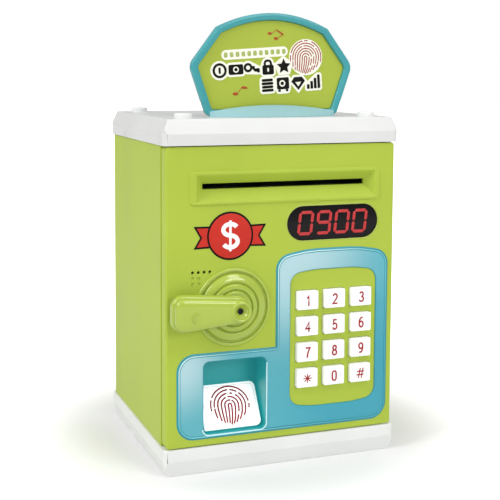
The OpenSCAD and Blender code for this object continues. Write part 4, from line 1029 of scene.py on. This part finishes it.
def make_sign_print(panel):
    """Raised graphics: a fingerprint disc, rows of plain icons on white, and two small notes."""
    white, black = bmesh.new(), bmesh.new()
    shapes = icon_shapes()
    tilt = 4
    strip_u, strip_v = -10.0, 218.1
    disc_u, disc_v = 19.3, 216.2
    layer = 0

    def backing(points, grow=1.15):
        nonlocal layer
        layer += 1
        relief(white, [(inset(hull(points), -grow), [(0, panel - 0.2), (0, panel + 0.2 + 0.004 * layer)])])

    def lay(names, u, v, pitch, scale):
        for k, name in enumerate(names):
            reach = (k - (len(names) - 1) / 2) * pitch
            cu = u + reach * math.cos(math.radians(tilt))
            cv = v + reach * math.sin(math.radians(tilt))
            everything = []
            for outline, holes in shapes[name]:
                loops = [turned([p * scale for p in outline], cu, cv, tilt)]
                loops += [turned([p * scale for p in hole], cu, cv, tilt)[::-1] for hole in holes]
                everything += loops[0]
                steps = [(0, panel + 0.1), (0, panel + 0.33), (0.04, panel + 0.36)]
                relief(black, [(loop, steps) for loop in loops])
            backing(everything)

    lay(["coin", "note", "key", "padlock", "star"], -11.6, 210.0, 9.1, 0.98)
    lay(["coins", "safe", "gem", "bars"], 10.6, 202.1, 8.9, 0.95)
    strip = turned(box(0, 0, 37.0, 4.6, 2.2), strip_u, strip_v, tilt)
    backing([(p.x, p.y) for p in strip], 0.3)
    disc = ring(disc_u, disc_v, 9.3, 72)
    backing([(p.x, p.y) for p in disc], 0.4)
    settle("sign_print_ground", solid_of(white, FRONT, ["ivory"], "sign_print_ground"), "cabinet",
           ["sign_label"])
    settle("sign_icons", solid_of(black, FRONT, ["ink"], "sign_icons"), "cabinet")

    dot = bmesh.new()
    relief(dot, [(turned(box(0, 0, 2.0, 2.6, 0.6), 0, 0, tilt), [(0, 0), (0, 0.2), (0.05, 0.23)])])
    shape = bpy.data.objects.new("dot", solid_of(dot, FRONT, ["moss"], "dot"))
    bpy.context.scene.collection.objects.link(shape)
    carrier = bpy.data.objects.new("dots", bpy.data.meshes.new("dots"))
    bpy.context.scene.collection.objects.link(carrier)
    step = 3.3
    count = 11
    lean = math.radians(tilt)
    start = Vector((strip_u - step * (count - 1) / 2 * math.cos(lean), -(panel + 0.1),
                    strip_v - step * (count - 1) / 2 * math.sin(lean))) * MM
    stride = Vector((step * math.cos(lean), 0, step * math.sin(lean))) * MM
    data = rows.grow(carrier, Shape=shape, Count=count, Start=start, Step=stride, Material=plastic["moss"])
    bpy.data.objects.remove(shape)
    data.name = "sign_beads"
    settle("sign_beads", data, "cabinet")

    at = Matrix.Translation((disc_u, 0, disc_v)) @ FRONT
    bead("sign_fingerprint", ridges(9.2, 1.38, 5, panel - 0.02, 0.02), at, 0.4, "ridge", "cabinet",
         "red_print")

    notes = bmesh.new()

    def blob(u, v, a, b, turn):
        steps = [(0, panel - 0.1), (0, panel + 0.16), (0.05, panel + 0.2)]
        relief(notes, [(ring(u, v, a, 24, b / a, turn), steps)])

    def stroke(points):
        relief(notes, [([Vector(p) for p in points], [(0, panel - 0.1), (0, panel + 0.15)])])

    blob(-20.9, 196.6, 1.5, 0.85, 0)
    stroke([(-20.0, 196.5), (-19.6, 196.7), (-17.0, 200.2), (-17.4, 200.2)])
    stroke([(-17.4, 200.4), (-16.9, 199.2), (-14.0, 199.3), (-14.4, 200.2), (-16.0, 200.6)])
    blob(-1.6, 228.6, 1.2, 0.75, -12)
    blob(1.9, 226.0, 1.2, 0.75, -12)
    stroke([(-0.8, 228.5), (-0.4, 228.5), (2.7, 230.6), (2.3, 230.7)])
    stroke([(2.6, 226.0), (3.0, 226.0), (6.0, 228.0), (5.7, 228.2)])
    stroke([(2.1, 230.9), (2.9, 229.6), (6.2, 227.5), (6.1, 228.7)])
    settle("sign_notes", solid_of(notes, FRONT, ["rust"], "sign_notes"), "cabinet")


# ---- Screws ----

def islands(node):
    """The middle and size of each loose solid in a CAD part, in millimetres."""
    mesh = bmesh.new()
    mesh.from_mesh(NODES[node].data)
    bmesh.ops.remove_doubles(mesh, verts=mesh.verts, dist=0.002 * MM)
    left = set(mesh.verts)
    found = []
    while left:
        group, queue = [], [left.pop()]
        while queue:
            vert = queue.pop()
            group.append(vert.co / MM)
            for edge in vert.link_edges:
                other = edge.other_vert(vert)
                if other in left:
                    left.remove(other)
                    queue.append(other)
        low = Vector(min(p[i] for p in group) for i in range(3))
        high = Vector(max(p[i] for p in group) for i in range(3))
        found.append((low, high))
    mesh.free()
    return sorted(found, key=lambda pair: tuple(round(c, 2) for c in pair[0]))


def make_screws(name, node, body, axis, way, seed):
    """Pan heads with a cross recess, on the CAD part's places, heads towards one side."""
    solids = islands(node)
    low, high = solids[0]
    size = high - low
    across = min(size[i] for i in range(3) if i != axis)
    r = across / 2
    length = size[axis]
    thick = min(1.6, length * 0.4)
    mesh = bmesh.new()
    arm, half = r * 0.62, r * 0.14
    cross = [(-half, -arm), (half, -arm), (half, -half), (arm, -half), (arm, half), (half, half),
             (half, arm), (-half, arm), (-half, half), (-arm, half), (-arm, -half), (-half, -half)]
    cross = [Vector(p) for p in cross][::-1]
    relief(mesh, [(ring(0, 0, r, 32), [(0, -thick * 0.55), (0.02, -thick * 0.5), (r * 0.1, -thick * 0.2),
                                       (r * 0.28, 0)]),
                  (cross, [(0, -thick * 0.55), (0, 0)])])
    relief(mesh, [(ring(0, 0, r, 32), [(0, -thick), (0, -thick * 0.55)])])
    lathe(mesh, [(0, -length), (r * 0.3, -length), (r * 0.48, -length * 0.85), (r * 0.48, -thick * 0.9),
                 (0, -thick * 0.9)], sides=20, closed=False)
    screw = bpy.data.objects.new("screw", solid_of(mesh, UP, ["steel"], "screw"))
    points = bpy.data.meshes.new("points")
    heads = []
    for low, high in solids:
        place = (low + high) / 2
        place[axis] = high[axis] if way > 0 else low[axis]
        heads.append(place * MM)
    points.from_pydata(heads, [], [])
    carrier = bpy.data.objects.new("places", points)
    for item in (screw, carrier):
        bpy.context.scene.collection.objects.link(item)
    target = Vector((0, 0, 0))
    target[axis] = way
    aim = Vector((0, 0, 1)).rotation_difference(target).to_euler()
    data = fixings.grow(carrier, Screw=screw, Aim=Vector(aim), Seed=seed, Material=plastic["steel"])
    bpy.data.objects.remove(screw)
    data.name = name
    settle(name, data, body, [node])


# ---- Plugs on the lid ----

def make_plugs():
    """Raised round pads over the lid's screws, one turned shape on each of the CAD part's places."""
    mesh = bmesh.new()
    for low, high in islands("screw_plugs"):
        u, v = (low.x + high.x) / 2, (low.y + high.y) / 2
        r, top, foot = (high.x - low.x) / 2, high.z, low.z
        shape = rounded([(0.01, foot, 0), (r - 1.0, foot, 0), (r - 1.0, foot + 2.2, 0), (r, foot + 2.2, 0),
                         (r - 0.1, top, 0.8), (0.01, top, 0)], 18)
        lathe(mesh, [(0, foot)] + [(p.x, p.y) for p in shape[1:-1]] + [(0, top)], u, v, 64, closed=False)
    settle("lid_plugs", solid_of(mesh, UP, ["white"], "lid_plugs", 50), "cabinet",
           ["screw_plugs"])


# ---- Everything is made ----

# The coin feeder and the hub screw are made dark: painted shade inside the coin slot and the hub's hole.
for node in ("spindle_screw", "feeder_frame"):
    NODES[node].data.materials[0] = plastic["dark"]
# The lid takes the greyer white: painted shade.
NODES["lid"].data.materials[0] = plastic["shaded_lid_white"]
make_bezel()
make_well()
for node, legend in KEYS.items():
    make_key(node, legend)
make_pad()
make_lever()
make_dial()
make_display()
make_badge()
make_sign()
make_plugs()
make_screws("foot_screws", "base_screws", "cabinet", 2, -1, 3)
make_screws("top_screws", "lid_screws", "cabinet", 2, 1, 4)
make_screws("frame_screws", "door_screws", "door", 1, 1, 5)
make_screws("cover_screw", "battery_cover_screw", "door", 1, 1, 6)


# ---- Camera, lights and floor ----

def aim(obj, place, target):
    obj.location = Vector(place)
    obj.rotation_euler = (Vector(target) - Vector(place)).to_track_quat("-Z", "Y").to_euler()


def area_light(name, place, target, width, height, power):
    data = bpy.data.lights.new(name, "AREA")
    data.shape = "RECTANGLE"
    data.size = width
    data.size_y = height
    data.energy = power
    light = bpy.data.objects.new(name, data)
    bpy.context.scene.collection.objects.link(light)
    aim(light, place, target)


def make_camera():
    data = bpy.data.cameras.new("camera")
    data.sensor_width = 36.0
    data.lens = 76.85
    data.shift_y = -0.1763
    data.clip_start = 0.01
    camera = bpy.data.objects.new("camera", data)
    camera.location = (-0.2122, -0.5673, 0.2097)
    camera.rotation_euler = (math.radians(90 - 4.97), math.radians(-0.31), math.radians(-20.59))
    bpy.context.scene.collection.objects.link(camera)
    bpy.context.scene.camera = camera


def make_floor():
    """A white sweep that the camera sees almost evenly lit, with a faint contact shadow: its glow, seen only by
    the camera, fades near the safe, a painted shadow.
    """
    g = Graph("floor_paint")
    seen = g.add("ShaderNodeLightPath", output="Is Camera Ray")
    # Painted shadow: the floor's glow fades to almost nothing near the safe.
    shadow_fade = g.range(g.distance_to(0, 0, 0), 72.0, 200.0, 0.0, 1.0, True)
    g.set(Base_Color=(0.8, 0.8, 0.8, 1), Roughness=0.7, Specular_IOR_Level=0.0, Emission_Strength=1.0,
          Emission_Color=g.blend(seen, (0, 0, 0, 1), g.blend(shadow_fade, (0.04, 0.04, 0.04, 1), (1, 1, 1, 1))))
    mesh = bpy.data.meshes.new("floor")
    s = 6.0
    mesh.from_pydata([(-s, -s, 0), (s, -s, 0), (s, s, 0), (-s, s, 0)], [], [(0, 1, 2, 3)])
    mesh.materials.append(g.material)
    floor = bpy.data.objects.new("floor", mesh)
    bpy.context.scene.collection.objects.link(floor)


def make_world():
    world = bpy.data.worlds.new("studio")
    bpy.context.scene.world = world
    world.use_nodes = True
    tree = world.node_tree
    back = tree.nodes["Background"]
    back.inputs["Color"].default_value = (1, 1, 1, 1)
    height = tree.nodes.new("ShaderNodeSeparateXYZ")
    direction = tree.nodes.new("ShaderNodeTexCoord")
    tree.links.new(direction.outputs["Generated"], height.inputs[0])
    ramp = tree.nodes.new("ShaderNodeMapRange")
    for index, value in ((1, -0.2), (2, 1.0), (3, 0.25), (4, 0.86)):
        ramp.inputs[index].default_value = value
    tree.links.new(height.outputs["Z"], ramp.inputs[0])
    tree.links.new(ramp.outputs[0], back.inputs["Strength"])
    seen = tree.nodes.new("ShaderNodeBackground")
    seen.inputs["Strength"].default_value = 1.0
    seen.inputs["Color"].default_value = (1, 1, 1, 1)
    path = tree.nodes.new("ShaderNodeLightPath")
    mix = tree.nodes.new("ShaderNodeMixShader")
    tree.links.new(path.outputs["Is Camera Ray"], mix.inputs[0])
    tree.links.new(back.outputs[0], mix.inputs[1])
    tree.links.new(seen.outputs[0], mix.inputs[2])
    tree.links.new(mix.outputs[0], tree.nodes["World Output"].inputs["Surface"])


make_camera()
make_floor()
make_world()
area_light("top_light", (0.45, -0.96, 1.35), (0, 0, 0.1), 0.58, 0.58, 4.6)
area_light("left_light", (-1.0, -0.3, 0.85), (0, 0, 0.1), 0.4, 0.6, 6.6)
area_light("front_light", (0.36, -1.05, 0.5), (0, 0, 0.1), 0.46, 0.24, 2.3)
bpy.context.scene.view_settings.view_transform = "Standard"
